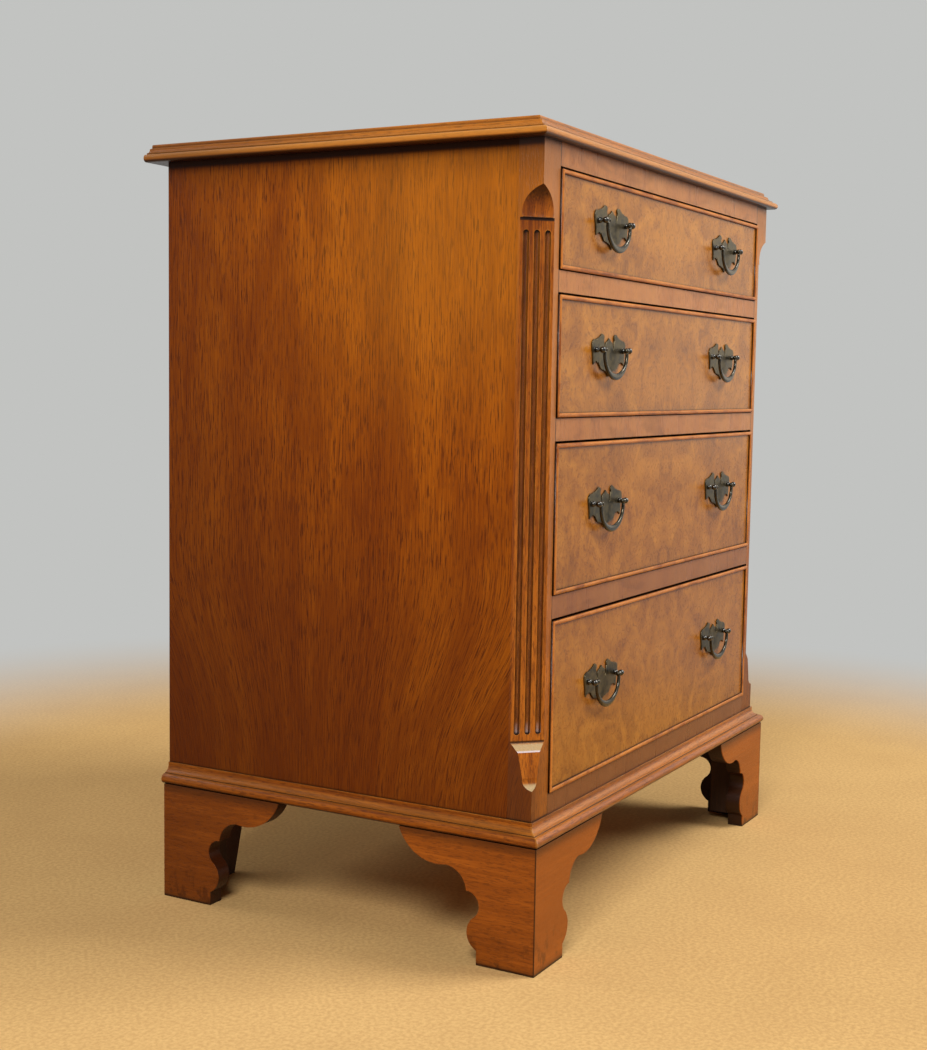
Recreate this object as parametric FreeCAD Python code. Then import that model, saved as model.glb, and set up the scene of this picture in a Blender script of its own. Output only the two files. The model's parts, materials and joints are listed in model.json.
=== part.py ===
import FreeCAD, Part
import math
import os

# Bachelor's chest: four graduated drawers between canted and fluted corner posts,
# a moulded top, a moulded base and four bracket feet.
#
# Millimetres. The origin is on the floor under the middle of the chest's outer box,
# +X is to the viewer's right when facing the drawers, +Y to the back, +Z up.

V = FreeCAD.Vector

# --- Driving dimensions ---------------------------------------------------------------

# Carcass
carcass_width = 597.0
carcass_depth = 415.5
side_thickness = 15.0
back_thickness = 6.0
back_rebate = 7.0
bottom_thickness = 14.0
post_face = 32.5
post_return = 24.5
rail_depth = 50.0

# Heights of the front. The drawer openings share what the other heights leave, and the
# top drawer takes the rest. Drawers and dividers are numbered from the top down.
overall_height = 760.0
foot_height = 117.0
bottom_rail_height = 39.4
drawer_4_share = 0.3204
drawer_3_share = 0.2776
drawer_2_share = 0.2226
divider_3_height = 21.0
divider_2_height = 20.5
divider_1_height = 19.5
top_rail_height = 21.0
top_thickness = 18.5

# Top
top_side_overhang = 14.5
top_front_overhang = 9.0
top_back_overhang = 19.5
top_edge_width = 32.0
top_bead_height = 7.5
top_bead_setback = 1.3
top_fillet = 1.7
top_cove = 4.4
top_slope_run = 3.6
top_slope_rise = 1.4
top_round = 2.0

# Base moulding
base_projection = 13.0
base_moulding_height = 20.5
base_bead_height = 10.0
base_fillet = 1.8

# Canted corner of the post: stops at its ends, flutes between them
cant_width = 31.8
stop_depth = 17.2
scoop_top_drop = 40.0
scoop_height = 27.5
scoop_share = 0.88
scoop_quirk = 2.3
tongue_foot_rise = 49.0
tongue_height = 41.5
tongue_lip_depth = 10.4
tongue_lip_drop = 8.2
tongue_quirk = 1.5
tongue_tip_depth = 7.0
tongue_tip_height = 10.5
flute_count = 3
flute_width = 5.4
flute_pitch = 10.1
flute_top_gap = 13.3
flute_foot_gap = 9.6

# Bracket feet. A point of the outline is (how far past the foot's width, share of the height)
foot_projection = 11.0
foot_board = 18.0
foot_width = 59.0
bracket_length = 143.0
bracket_toe = 0.115
bracket_lobe = (10.2, 0.235)
bracket_lobe_end = (2.7, 0.38)
bracket_hollow = (-2.0, 0.462)
bracket_hollow_end = (11.5, 0.58)
bracket_cove = (17.0, 0.69)
bracket_cusp = (33.0, 0.757)
bracket_arm_bow = (66.0, 0.805)
rear_foot_inset = 2.0
rear_board_thickness = 16.0
rear_board_foot = 78.0
rear_board_length = 109.0
block_size = 28.0
block_floor_gap = 10.0
cleat_size = 18.0
cleat_length = 60.0

# Drawers
drawer_side_gap = 1.0
drawer_top_gap = 2.0
drawer_bottom_gap = 0.8
running_gap = 0.3
drawer_back_gap = 8.0
front_thickness = 20.0
lining_thickness = 9.0
drawer_bottom_thickness = 4.5
groove_height = 9.0
groove_depth = 4.0
front_groove_depth = 6.0
side_drop = 3.0
back_drop = 6.0
bead_width = 4.0
bead_rebate = 8.0
bead_stand = 2.5
bead_nose = 1.3
dovetail_lap = 2.0
dovetail_pitch = 38.0
dovetail_root_share = 0.5
dovetail_slope = 1.0 / 7.0

# What the drawers run on
runner_width = 38.5
guide_height = 16.0
stop_length = 40.0
stop_depth = 16.0
stop_height = 5.0
stop_offset = 110.0

# Handles
handle_spread = 310.0
handle_height_share = 0.565
post_spacing = 62.0
plate_thickness = 1.4
pivot_standoff = 8.5
head_radius = 3.4
head_belt_share = 0.4
head_tip_share = 0.45
collar_radius = 2.7
collar_height = 1.8
collar_taper = 1.4
neck_radius = 1.9
shank_size = 3.4
shank_gap = 0.1
nut_width = 7.0
nut_height = 3.2
pin_radius = 1.2
pin_clearance = 0.05
pin_engagement = 3.4
bore_end_gap = 0.4
bail_head_gap = 0.4
bail_arm = 3.2
bail_thickness = 3.3
bail_shoulder = 4.0
bail_drop = 28.3
bail_grip = 6.6
bail_runs = 12
turned_sides = 8

# How far a cutting shape stands outside what it cuts
cut_margin = 1.0

# --- Places worked out from the sizes ---------------------------------------------------

handle_reach = pivot_standoff + head_radius
outer_depth = handle_reach + carcass_depth + top_back_overhang
front_y = handle_reach - outer_depth / 2
back_y = front_y + carcass_depth
foot_back_y = back_y - rear_foot_inset
inner_back_y = back_y - back_thickness
half_width = carcass_width / 2
side_inner_x = half_width - side_thickness
post_inner_x = half_width - post_face
cant_depth = cant_width / 2
post_reach = max(post_face, post_return)

divider_heights = {3: divider_3_height, 2: divider_2_height, 1: divider_1_height}
carcass_top = overall_height - top_thickness
lowest_opening = foot_height + bottom_rail_height
clear_height = carcass_top - top_rail_height - lowest_opening - sum(divider_heights.values())
opening_heights = {4: drawer_4_share * clear_height, 3: drawer_3_share * clear_height,
                   2: drawer_2_share * clear_height}
opening_heights[1] = clear_height - sum(opening_heights.values())

opening_floor = {}
opening_top = {}
level = lowest_opening
for number, height in opening_heights.items():
    opening_floor[number] = level
    opening_top[number] = level + height
    level = opening_top[number] + divider_heights.get(number - 1, 0.0)


# --- Helpers ----------------------------------------------------------------------------

def block(x_low, x_high, y_low, y_high, z_low, z_high):
    """A straight board between two opposite corners."""
    corner = V(x_low, y_low, z_low)
    return Part.makeBox(x_high - x_low, y_high - y_low, z_high - z_low, corner)


def trace(place, start, steps):
    """The face inside an outline. A step is a point (a straight run to it) or a pair
    of points (an arc through the first to the second). place turns (a, b) into space."""
    edges = []
    here = place(*start)
    for step in list(steps) + [start]:
        if isinstance(step[0], tuple):
            there = place(*step[1])
            edges.append(Part.Arc(here, place(*step[0]), there).toShape())
        else:
            there = place(*step)
            if not there.isEqual(here, 1e-6):
                edges.append(Part.makeLine(here, there))
        here = there
    return Part.Face(Part.Wire(edges))


def on_plan(corners, z_low, z_high):
    """A prism that stands on a plan outline."""
    return trace(lambda x, y: V(x, y, z_low), corners[0], corners[1:]).extrude(V(0, 0, z_high - z_low))


def turned(rings, place):
    """A turned solid with a set number of sides. Each ring is (radius, distance along the
    axis), and place turns (across, up, along) into space."""
    turns = [2 * math.pi * (side + 0.5) / turned_sides for side in range(turned_sides)]
    loops = []
    for radius, along in rings:
        loops.append([place(radius * math.cos(turn), radius * math.sin(turn), along) for turn in turns])
    outlines = [loops[0], loops[-1]]
    for near, far in zip(loops, loops[1:]):
        for side in range(turned_sides):
            after = (side + 1) % turned_sides
            outlines.append([near[side], near[after], far[after], far[side]])
    faces = [Part.Face(Part.makePolygon(points + points[:1])) for points in outlines]
    solid = Part.Solid(Part.Shell(faces))
    return solid if solid.Volume > 0 else solid.reversed()


def to_right(shape):
    """The right-hand twin of a left-hand piece."""
    return shape.mirror(V(0, 0, 0), V(1, 0, 0))


def fused(shapes):
    """One solid from pieces that meet, with the seams taken out."""
    return shapes[0].fuse(shapes[1:]).removeSplitter()


def save(name, shapes):
    """One file for each node. A list is a group of separate solids."""
    shape = Part.makeCompound(shapes) if isinstance(shapes, list) else shapes
    shape.exportStep("parts/%s.step" % name)


# --- Mouldings --------------------------------------------------------------------------

def top_edge_section(place):
    """Bead below, then a fillet, a cove, a slope and a rounded upper edge."""
    bead = top_bead_height / 2
    fillet_in = bead + top_bead_setback
    cove_low = top_bead_height + top_fillet
    cove_in = fillet_in + top_cove
    cove_high = cove_low + top_cove
    cove_mid = top_cove * (1 - math.sqrt(0.5))
    slope_in = cove_in + top_slope_run
    slope_high = cove_high + top_slope_rise
    round_low = top_thickness - top_round
    round_mid = top_round * (1 - math.sqrt(0.5))
    return trace(place, (top_edge_width, 0), [
        (bead, 0),
        ((0, bead), (bead, top_bead_height)),
        (fillet_in, top_bead_height),
        (fillet_in, cove_low),
        ((cove_in - cove_mid, cove_low + cove_mid), (cove_in, cove_high)),
        (slope_in, slope_high),
        (slope_in, round_low),
        ((slope_in + round_mid, top_thickness - round_mid), (slope_in + top_round, top_thickness)),
        (top_edge_width, top_thickness),
    ])


def base_section(place):
    """Half-round bead below, a fillet, and a cove that runs up to the carcass."""
    bead = base_bead_height / 2
    fillet_in = bead + base_fillet / 2
    cove_low = base_bead_height + base_fillet / 2
    cove_high = base_moulding_height - base_fillet
    cove_in = base_projection - base_fillet
    bow_in = cove_in - (cove_in - fillet_in) * (1 - math.sqrt(0.5))
    bow_high = cove_low + (cove_high - cove_low) * (1 - math.sqrt(0.5))
    return trace(place, (base_projection, 0), [
        (bead, 0),
        ((0, bead), (bead, base_bead_height)),
        (fillet_in, base_bead_height),
        (fillet_in, cove_low),
        ((bow_in, bow_high), (cove_in, cove_high)),
        (cove_in, base_moulding_height),
        (base_projection, base_moulding_height),
    ])


def mitred_lengths(section, outer_x, outer_y, end_y, z_low, height, width):
    """Front and left lengths of a moulding that turns the corner on a mitre. outer_x and
    outer_y are its outermost front corner, and width is how far the section goes in."""
    front = section(lambda inset, up: V(-outer_x, outer_y + inset, z_low + up))
    front = front.extrude(V(2 * outer_x, 0, 0))
    left = section(lambda inset, up: V(-outer_x + inset, outer_y, z_low + up))
    left = left.extrude(V(0, end_y - outer_y, 0))
    corner = (-outer_x, outer_y)
    heel = (-outer_x + width, outer_y + width)
    front_plan = [corner, heel, (-heel[0], heel[1]), (outer_x, outer_y)]
    left_plan = [corner, heel, (heel[0], end_y), (-outer_x, end_y)]
    return (front.common(on_plan(front_plan, z_low, z_low + height)),
            left.common(on_plan(left_plan, z_low, z_low + height)))


def make_top():
    outer_x = half_width + top_side_overhang
    outer_y = front_y - top_front_overhang
    end_y = back_y + top_back_overhang
    front, left = mitred_lengths(top_edge_section, outer_x, outer_y, end_y,
                                 carcass_top, top_thickness, top_edge_width)
    board_x = outer_x - top_edge_width
    board = block(-board_x, board_x, outer_y + top_edge_width, end_y, carcass_top, overall_height)
    save("top_board", board)
    save("top_edge_front", front)
    save("top_edge_left", left)
    save("top_edge_right", to_right(left))


def make_base_moulding():
    outer_x = half_width + base_projection
    outer_y = front_y - base_projection
    front, left = mitred_lengths(base_section, outer_x, outer_y, back_y,
                                 foot_height, base_moulding_height, base_projection)
    save("base_moulding_front", front)
    save("base_moulding_left", left)
    save("base_moulding_right", to_right(left))


# --- Corner posts -----------------------------------------------------------------------

def cant_cut(z_low, z_high):
    """What the canted corner loses: one outline, seen along the cant, with a hollow scoop
    at the top and a lamb's tongue at the foot, each parted from the face by a quirk."""
    depth = cant_depth
    scoop_top = z_high - scoop_top_drop
    scoop_low = scoop_top - scoop_height
    scoop_depth = depth * scoop_share
    bow = math.sqrt(0.5)
    tip = z_low + tongue_foot_rise
    shelf = tip + tongue_height
    lip = shelf - tongue_lip_drop
    neck = tip + tongue_tip_height
    corner_x = -half_width
    outside = -cut_margin

    def place(inward, z):
        return V(corner_x + inward * bow, front_y + inward * bow, z)

    outline = trace(place, (outside, scoop_top), [
        (0, scoop_top),
        ((scoop_depth * bow, scoop_top - scoop_height * (1 - bow)), (scoop_depth, scoop_low)),
        (stop_depth, scoop_low),
        (depth, scoop_low - scoop_quirk),
        (depth, shelf + tongue_quirk),
        (stop_depth, shelf),
        (tongue_lip_depth, lip),
        (tongue_tip_depth, neck),
        ((tongue_tip_depth * bow, tip + tongue_tip_height * (1 - bow)), (0, tip)),
        (outside, tip),
    ])
    along = V(bow, -bow, 0)
    outline.translate(along * -post_reach)
    return outline.extrude(along * (2 * post_reach))


def flutes(z_low, z_high):
    """Round-bottomed, round-ended grooves, side by side on the cant's face."""
    bow = math.sqrt(0.5)
    radius = flute_width / 2
    low = z_low + tongue_foot_rise + tongue_height + flute_foot_gap
    high = z_high - scoop_top_drop - scoop_height - flute_top_gap
    cuts = []
    for index in range(flute_count):
        across = (index - (flute_count - 1) / 2) * flute_pitch
        centre = V(-half_width + (cant_depth + across) * bow, front_y + (cant_depth - across) * bow, 0)

        def place(side, z):
            return centre + V((side - radius) * bow, -(side + radius) * bow, z)

        slot = trace(place, (-radius, low), [
            (-radius, high),
            ((0, high + radius), (radius, high)),
            (radius, low),
            ((0, low - radius), (-radius, low)),
        ]).extrude(V(bow, bow, 0) * (2 * radius))
        groove = Part.makeCylinder(radius, high - low + 2 * radius, centre + V(0, 0, low - radius))
        cuts.append(groove.common(slot))
    return cuts


def make_posts():
    post = block(-half_width, -post_inner_x, front_y, front_y + post_return, foot_height, carcass_top)
    post = post.cut(cant_cut(foot_height, carcass_top))
    for cut in flutes(foot_height, carcass_top):
        post = post.cut(cut)
    save("corner_post_left", post)
    save("corner_post_right", to_right(post))


# --- Carcass boards ---------------------------------------------------------------------

def front_rail(z_low, z_high):
    """A rail between the posts, shouldered behind them to reach the sides."""
    between = block(-post_inner_x, post_inner_x, front_y, front_y + rail_depth, z_low, z_high)
    behind = block(-side_inner_x, side_inner_x, front_y + post_return, front_y + rail_depth, z_low, z_high)
    return fused([between, behind])


def make_carcass():
    panel = block(-half_width, -side_inner_x, front_y + post_return, back_y, foot_height, carcass_top)
    rebate_x = side_inner_x + back_rebate
    panel = panel.cut(block(-rebate_x, -side_inner_x, inner_back_y, back_y, foot_height, carcass_top))
    save("side_panel_left", panel)
    save("side_panel_right", to_right(panel))
    save("back_panel", block(-rebate_x, rebate_x, inner_back_y, back_y, foot_height, carcass_top))
    save("bottom_board", block(-side_inner_x, side_inner_x, front_y + rail_depth, inner_back_y,
                               foot_height, foot_height + bottom_thickness))
    save("top_rail", front_rail(opening_top[1], carcass_top))
    save("bottom_rail", front_rail(foot_height, opening_floor[4]))
    for number in divider_heights:
        save("divider_rail_%d" % number, front_rail(opening_top[number + 1], opening_floor[number]))


def make_runners():
    """Boards at each side that carry, guide and hold down the drawers, and the stops
    on the rails that their fronts come home against."""
    rail_back = front_y + rail_depth
    runner_x = side_inner_x - runner_width
    runners = []
    guides = []
    stops = []
    for number, floor in opening_floor.items():
        under = opening_top.get(number + 1, foot_height + bottom_thickness)
        runner = block(-side_inner_x, -runner_x, rail_back, inner_back_y, under, floor)
        guide = block(-side_inner_x, -post_inner_x, front_y + post_return, inner_back_y,
                      floor, floor + guide_height)
        stop_y = front_y + front_thickness + running_gap
        stop = block(-stop_offset - stop_length / 2, -stop_offset + stop_length / 2,
                     stop_y, stop_y + stop_depth, floor, floor + stop_height)
        runners += [runner, to_right(runner)]
        guides += [guide, to_right(guide)]
        stops += [stop, to_right(stop)]
    kicker = block(-side_inner_x, -runner_x, rail_back, inner_back_y, opening_top[1], carcass_top)
    save("drawer_runners", runners)
    save("drawer_guides", guides)
    save("drawer_stops", stops)
    save("top_kickers", [kicker, to_right(kicker)])


# --- Bracket feet -----------------------------------------------------------------------

def bracket_outline(place):
    """A shaped bracket: a foot with a round lobe, a hollow above it, and an arm that runs
    out under the moulding with a cusp at each end of its cove."""
    def point(beyond, share):
        return (foot_width + beyond, share * foot_height)

    return trace(place, (0, 0), [
        point(0, 0),
        point(0, bracket_toe),
        (point(*bracket_lobe), point(*bracket_lobe_end)),
        (point(*bracket_hollow), point(*bracket_hollow_end)),
        (point(*bracket_cove), point(*bracket_cusp)),
        (point(*bracket_arm_bow), (bracket_length, foot_height)),
        (0, foot_height),
    ])


def front_foot():
    """The left front foot: two brackets, mitred at the corner."""
    corner_x = -half_width - foot_projection
    corner_y = front_y - foot_projection
    heel = (corner_x + foot_board, corner_y + foot_board)
    ends_x = corner_x + bracket_length
    ends_y = corner_y + bracket_length
    front = bracket_outline(lambda along, z: V(corner_x + along, corner_y, z))
    front = front.extrude(V(0, foot_board, 0))
    front_plan = [(corner_x, corner_y), (ends_x, corner_y), (ends_x, heel[1]), heel]
    side = bracket_outline(lambda along, z: V(corner_x, corner_y + along, z))
    side = side.extrude(V(foot_board, 0, 0))
    side_plan = [(corner_x, corner_y), heel, (heel[0], ends_y), (corner_x, ends_y)]
    return [front.common(on_plan(front_plan, 0, foot_height)),
            side.common(on_plan(side_plan, 0, foot_height))]


def rear_foot():
    """The left rear foot: a shaped bracket at the side and a plain splayed board at the back."""
    corner_x = -half_width - foot_projection
    inner_x = corner_x + foot_board
    side = bracket_outline(lambda along, z: V(corner_x, foot_back_y - along, z))
    side = side.extrude(V(foot_board, 0, 0))
    board = trace(lambda along, z: V(inner_x + along, foot_back_y - rear_board_thickness, z), (0, 0), [
        (rear_board_foot, 0),
        (rear_board_length, foot_height),
        (0, foot_height),
    ])
    return [side, board.extrude(V(0, rear_board_thickness, 0))]


def foot_blocks():
    """The blocks glued into the left feet: an upright in each corner and a cleat along
    each bracket, under the bottom of the carcass."""
    inner_x = -half_width - foot_projection + foot_board
    inner_y = front_y - foot_projection + foot_board
    rear_y = foot_back_y - rear_board_thickness
    cleat_low = foot_height - cleat_size
    front_upright = block(inner_x, inner_x + block_size, inner_y, inner_y + block_size,
                          block_floor_gap, foot_height)
    rear_upright = block(inner_x, inner_x + block_size, rear_y - block_size, rear_y,
                         block_floor_gap, foot_height)
    front_x = inner_x + block_size
    front_cleat = block(front_x, front_x + cleat_length, inner_y, inner_y + cleat_size,
                        cleat_low, foot_height)
    rear_cleat = block(front_x, front_x + cleat_length, rear_y - cleat_size, rear_y,
                       cleat_low, foot_height)
    side_y = inner_y + block_size
    side_cleat = block(inner_x, inner_x + cleat_size, side_y, side_y + cleat_length,
                       cleat_low, foot_height)
    side_y = rear_y - block_size
    rear_side_cleat = block(inner_x, inner_x + cleat_size, side_y - cleat_length, side_y,
                            cleat_low, foot_height)
    return [front_upright, rear_upright, front_cleat, rear_cleat, side_cleat, rear_side_cleat]


def make_feet():
    front = front_foot()
    rear = rear_foot()
    save("front_foot_left", front)
    save("front_foot_right", [to_right(piece) for piece in front])
    save("rear_foot_left", rear)
    save("rear_foot_right", [to_right(piece) for piece in rear])
    blocks = foot_blocks()
    save("glue_blocks", blocks + [to_right(piece) for piece in blocks])


# --- Drawers ----------------------------------------------------------------------------

drawer_half = post_inner_x - drawer_side_gap
lining_half = drawer_half - lining_thickness
lining_end_y = inner_back_y - drawer_back_gap
front_back_y = front_y + front_thickness


def dovetails(root_y, tip_y, z_low, z_high):
    """The tails on the end of the left lining, wider at the tip than at the root."""
    count = max(2, round((z_high - z_low) / dovetail_pitch))
    pitch = (z_high - z_low) / count
    root = pitch * dovetail_root_share / 2
    tip = root + abs(tip_y - root_y) * dovetail_slope
    tails = []
    for index in range(count):
        middle = z_low + (index + 0.5) * pitch
        tail = trace(lambda y, z: V(-drawer_half, y, z), (root_y, middle - root), [
            (root_y, middle + root),
            (tip_y, middle + tip),
            (tip_y, middle - tip),
        ])
        tails.append(tail.extrude(V(lining_thickness, 0, 0)))
    return Part.makeCompound(tails)


def cock_beads(low, high):
    """Strips in a rebate round the front, with eased noses and mitred corners."""
    nose_y = front_y - bead_stand
    back = front_y + bead_rebate

    def section(place):
        return trace(place, (0, back), [
            (0, nose_y + bead_nose),
            (bead_nose, nose_y),
            (bead_width - bead_nose, nose_y),
            (bead_width, nose_y + bead_nose),
            (bead_width, back),
        ])

    def wedge(corners):
        face = trace(lambda x, z: V(x, nose_y, z), corners[0], corners[1:])
        return face.extrude(V(0, back - nose_y, 0))

    span = drawer_half
    inner = drawer_half - bead_width
    upper = section(lambda inset, y: V(-span, y, high - inset)).extrude(V(2 * span, 0, 0))
    upper = upper.common(wedge([(-span, high), (span, high), (inner, high - bead_width),
                                (-inner, high - bead_width)]))
    lower = section(lambda inset, y: V(-span, y, low + inset)).extrude(V(2 * span, 0, 0))
    lower = lower.common(wedge([(-span, low), (span, low), (inner, low + bead_width),
                                (-inner, low + bead_width)]))
    left = section(lambda inset, y: V(-span + inset, y, low)).extrude(V(0, 0, high - low))
    left = left.common(wedge([(-span, low), (-span, high), (-inner, high - bead_width),
                              (-inner, low + bead_width)]))
    return [upper, lower, left, to_right(left)]


def handle_centres():
    """Where the middle of each handle is across the front, left then right."""
    return {"left": -handle_spread / 2, "right": handle_spread / 2}


def shank(x, z, gap, y_low, y_high):
    """The square shank of a handle's post, or the hole for it with a gap all round."""
    half = shank_size / 2 + gap
    return block(x - half, x + half, y_low, y_high, z - half, z + half)


def shank_places():
    """Where the handles' shanks pass through the front."""
    half = post_spacing / 2
    return [centre + side * half for centre in handle_centres().values() for side in (-1, 1)]


def make_drawer(number):
    floor = opening_floor[number]
    front_low = floor + drawer_bottom_gap
    front_high = opening_top[number] - drawer_top_gap
    side_low = floor + running_gap
    side_high = opening_top[number] - side_drop
    groove_low = side_low + groove_height
    groove_high = groove_low + drawer_bottom_thickness
    back_low = groove_high
    back_high = side_high - back_drop
    handle_z = floor + handle_height_share * opening_heights[number]

    tail_tip_y = front_y + bead_rebate + dovetail_lap
    front_tails = dovetails(front_back_y, tail_tip_y, side_low + side_drop, side_high)
    both_tails = [front_tails, to_right(front_tails)]
    back_tails = dovetails(lining_end_y - lining_thickness, lining_end_y, back_low, back_high)

    front = block(-drawer_half, drawer_half, front_y, front_back_y, front_low, front_high)
    face = block(-drawer_half, drawer_half, front_y, front_y + bead_rebate, front_low, front_high)
    face_left = block(-drawer_half + bead_width, drawer_half - bead_width, front_y,
                      front_y + bead_rebate, front_low + bead_width, front_high - bead_width)
    front = front.cut([face.cut(face_left)] + both_tails)
    front = front.cut(block(-lining_half, lining_half, front_back_y - front_groove_depth, front_back_y,
                            groove_low, groove_high))
    for x in shank_places():
        front = front.cut(shank(x, handle_z, shank_gap, front_y, front_back_y))
    save("drawer_%d_front" % number, front)
    save("drawer_%d_cock_beads" % number, cock_beads(front_low, front_high))

    lining = block(-drawer_half, -lining_half, front_back_y, lining_end_y, side_low, side_high)
    groove = block(-lining_half - groove_depth, -lining_half, front_back_y, lining_end_y,
                   groove_low, groove_high)
    corner = block(-drawer_half, -lining_half, lining_end_y - lining_thickness, lining_end_y,
                   back_low, back_high)
    lining = lining.cut([groove, corner.cut(back_tails)]).fuse(front_tails).removeSplitter()
    back = block(-drawer_half, drawer_half, lining_end_y - lining_thickness, lining_end_y,
                 back_low, back_high)
    back = back.cut([back_tails, to_right(back_tails)])
    save("drawer_%d_box" % number, [lining, to_right(lining), back])

    tongue = block(-lining_half, lining_half, front_back_y - front_groove_depth, front_back_y,
                   groove_low, groove_high)
    sheet = block(-lining_half - groove_depth, lining_half + groove_depth, front_back_y, lining_end_y,
                  groove_low, groove_high)
    save("drawer_%d_bottom" % number, fused([tongue, sheet]))
    make_handles(number, handle_z)


# --- Handles ----------------------------------------------------------------------------

def mirrored_outline(place, half):
    """A face from its right half: the outline runs from the top of the centre line down
    to its foot, and back up as a mirror image."""
    other = [(-across, up) for across, up in half[-2:0:-1]]
    return trace(place, half[0], half[1:] + other)


def backplate(centre, z):
    """A bat's-wing plate: a pointed leaf in the middle, a hooked wing at each side with a
    forked lower edge, and a pointed tail."""
    wing = post_spacing / 2
    plate_y = front_y - plate_thickness
    outline = mirrored_outline(lambda x, up: V(centre + x, plate_y, z + up), [
        (0, 11.2),
        (6.2, 7.6),
        (10.2, 2.8),
        (10.4, -1.0),
        (12.4, -1.0),
        (15.0, 1.6),
        (15.4, 6.2),
        (11.8, 10.4),
        (11.8, 13.6),
        (14.2, 15.0),
        (16.8, 13.2),
        (20.4, 11.0),
        (wing - 5.0, 10.4),
        (wing + 2.4, 10.2),
        (wing + 6.4, 7.2),
        (wing + 7.4, 2.0),
        (wing + 4.6, -5.6),
        (wing + 4.2, -8.6),
        (wing + 4.0, -14.0),
        (wing - 1.0, -11.6),
        (wing - 6.6, -11.0),
        (20.6, -14.0),
        (15.4, -18.4),
        (7.4, -20.2),
        (0, -25.0),
    ])
    plate = outline.extrude(V(0, plate_thickness, 0))
    for side in (-1, 1):
        plate = plate.cut(shank(centre + side * wing, z, shank_gap, plate_y, front_y))
    return plate


def handle_post(x, z, inward):
    """A turned post: collar, neck and a round head that is bored from the side for the
    bail's pin. Its square shank passes through the front to a nut, made in one with it.
    inward is the way from the post to the handle's middle."""
    plate_y = front_y - plate_thickness
    pivot_y = front_y - pivot_standoff
    collar_y = plate_y - collar_height
    belt = head_radius * head_belt_share
    turning = turned([
        (collar_radius, plate_y),
        (collar_radius, collar_y),
        (neck_radius, collar_y - collar_taper),
        (neck_radius, pivot_y + head_radius),
        (head_radius, pivot_y + belt),
        (head_radius, pivot_y - belt),
        (head_radius * head_tip_share, pivot_y - head_radius),
    ], lambda across, up, along: V(x + across, along, z + up))
    stem = shank(x, z, 0, plate_y, front_back_y)
    nut_half = nut_width / 2
    nut = block(x - nut_half, x + nut_half, front_back_y, front_back_y + nut_height,
                z - nut_half, z + nut_half)
    bore_radius = (pin_radius + pin_clearance) / math.cos(math.pi / turned_sides)
    bore = turned([(bore_radius, head_radius), (bore_radius, head_radius - pin_engagement - bore_end_gap)],
                  lambda across, up, along: V(x + inward * along, pivot_y + across, z + up))
    return fused([turning, stem, nut]).cut(bore)


def round_the_u(half, deep, shoulder):
    """Points round a U from its right shoulder to its left one, on half an oval."""
    points = []
    for run in range(bail_runs + 1):
        angle = math.pi * run / bail_runs
        points.append((half * math.cos(angle), shoulder - deep * math.sin(angle)))
    return points


def bail(centre, z):
    """A bail whose grip is deeper than its arms, with a pin at the top of each arm that
    turns in the head of its post."""
    pivot_y = front_y - pivot_standoff
    outer = post_spacing / 2 - head_radius - bail_head_gap
    inner = outer - bail_arm
    shoulder = -bail_shoulder
    outer_deep = bail_drop - bail_shoulder
    outside = round_the_u(outer, outer_deep, shoulder)
    inside = round_the_u(inner, outer_deep - bail_grip, shoulder)
    arm_top = bail_arm / 2
    body = trace(lambda x, up: V(centre + x, pivot_y - bail_thickness / 2, z + up), (outer, arm_top),
                 outside + [(-outer, arm_top), (-inner, arm_top)] + inside[::-1] + [(inner, arm_top)])
    body = body.extrude(V(0, bail_thickness, 0))
    pin_length = bail_head_gap + pin_engagement
    pins = [Part.makeCylinder(pin_radius, pin_length, V(centre + way * outer, pivot_y, z), V(way, 0, 0))
            for way in (-1, 1)]
    return fused([body] + pins)


def make_handles(number, z):
    plates = []
    posts = []
    for side, centre in handle_centres().items():
        plates.append(backplate(centre, z))
        for way in (-1, 1):
            posts.append(handle_post(centre + way * post_spacing / 2, z, -way))
        save("drawer_%d_bail_%s" % (number, side), bail(centre, z))
    save("drawer_%d_backplates" % number, plates)
    save("drawer_%d_handle_posts" % number, posts)


# --- Build ------------------------------------------------------------------------------

os.makedirs("parts", exist_ok=True)
make_top()
make_base_moulding()
make_posts()
make_carcass()
make_runners()
make_feet()
for drawer_number in opening_floor:
    make_drawer(drawer_number)
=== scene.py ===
import json
import math

import bmesh
import bpy
from bpy.props import FloatProperty, FloatVectorProperty, PointerProperty
from mathutils import Matrix, Vector


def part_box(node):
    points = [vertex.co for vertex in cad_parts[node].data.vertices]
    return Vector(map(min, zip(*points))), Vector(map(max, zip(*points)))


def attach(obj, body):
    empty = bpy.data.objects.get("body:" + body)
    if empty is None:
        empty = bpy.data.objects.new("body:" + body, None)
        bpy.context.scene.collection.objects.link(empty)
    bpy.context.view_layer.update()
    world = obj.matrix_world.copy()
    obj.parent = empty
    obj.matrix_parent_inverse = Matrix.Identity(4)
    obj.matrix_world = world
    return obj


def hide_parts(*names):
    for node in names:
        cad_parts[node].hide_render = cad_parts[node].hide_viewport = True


bl_info = {
    "name": "Bachelor's chest",
    "version": (1, 0, 0),
    "blender": (4, 5, 0),
    "location": "3D View > Sidebar > Chest",
    "description": "Dresses the chest's boards, drawers and handles in their timbers and metal",
    "category": "Object",
}

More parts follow.
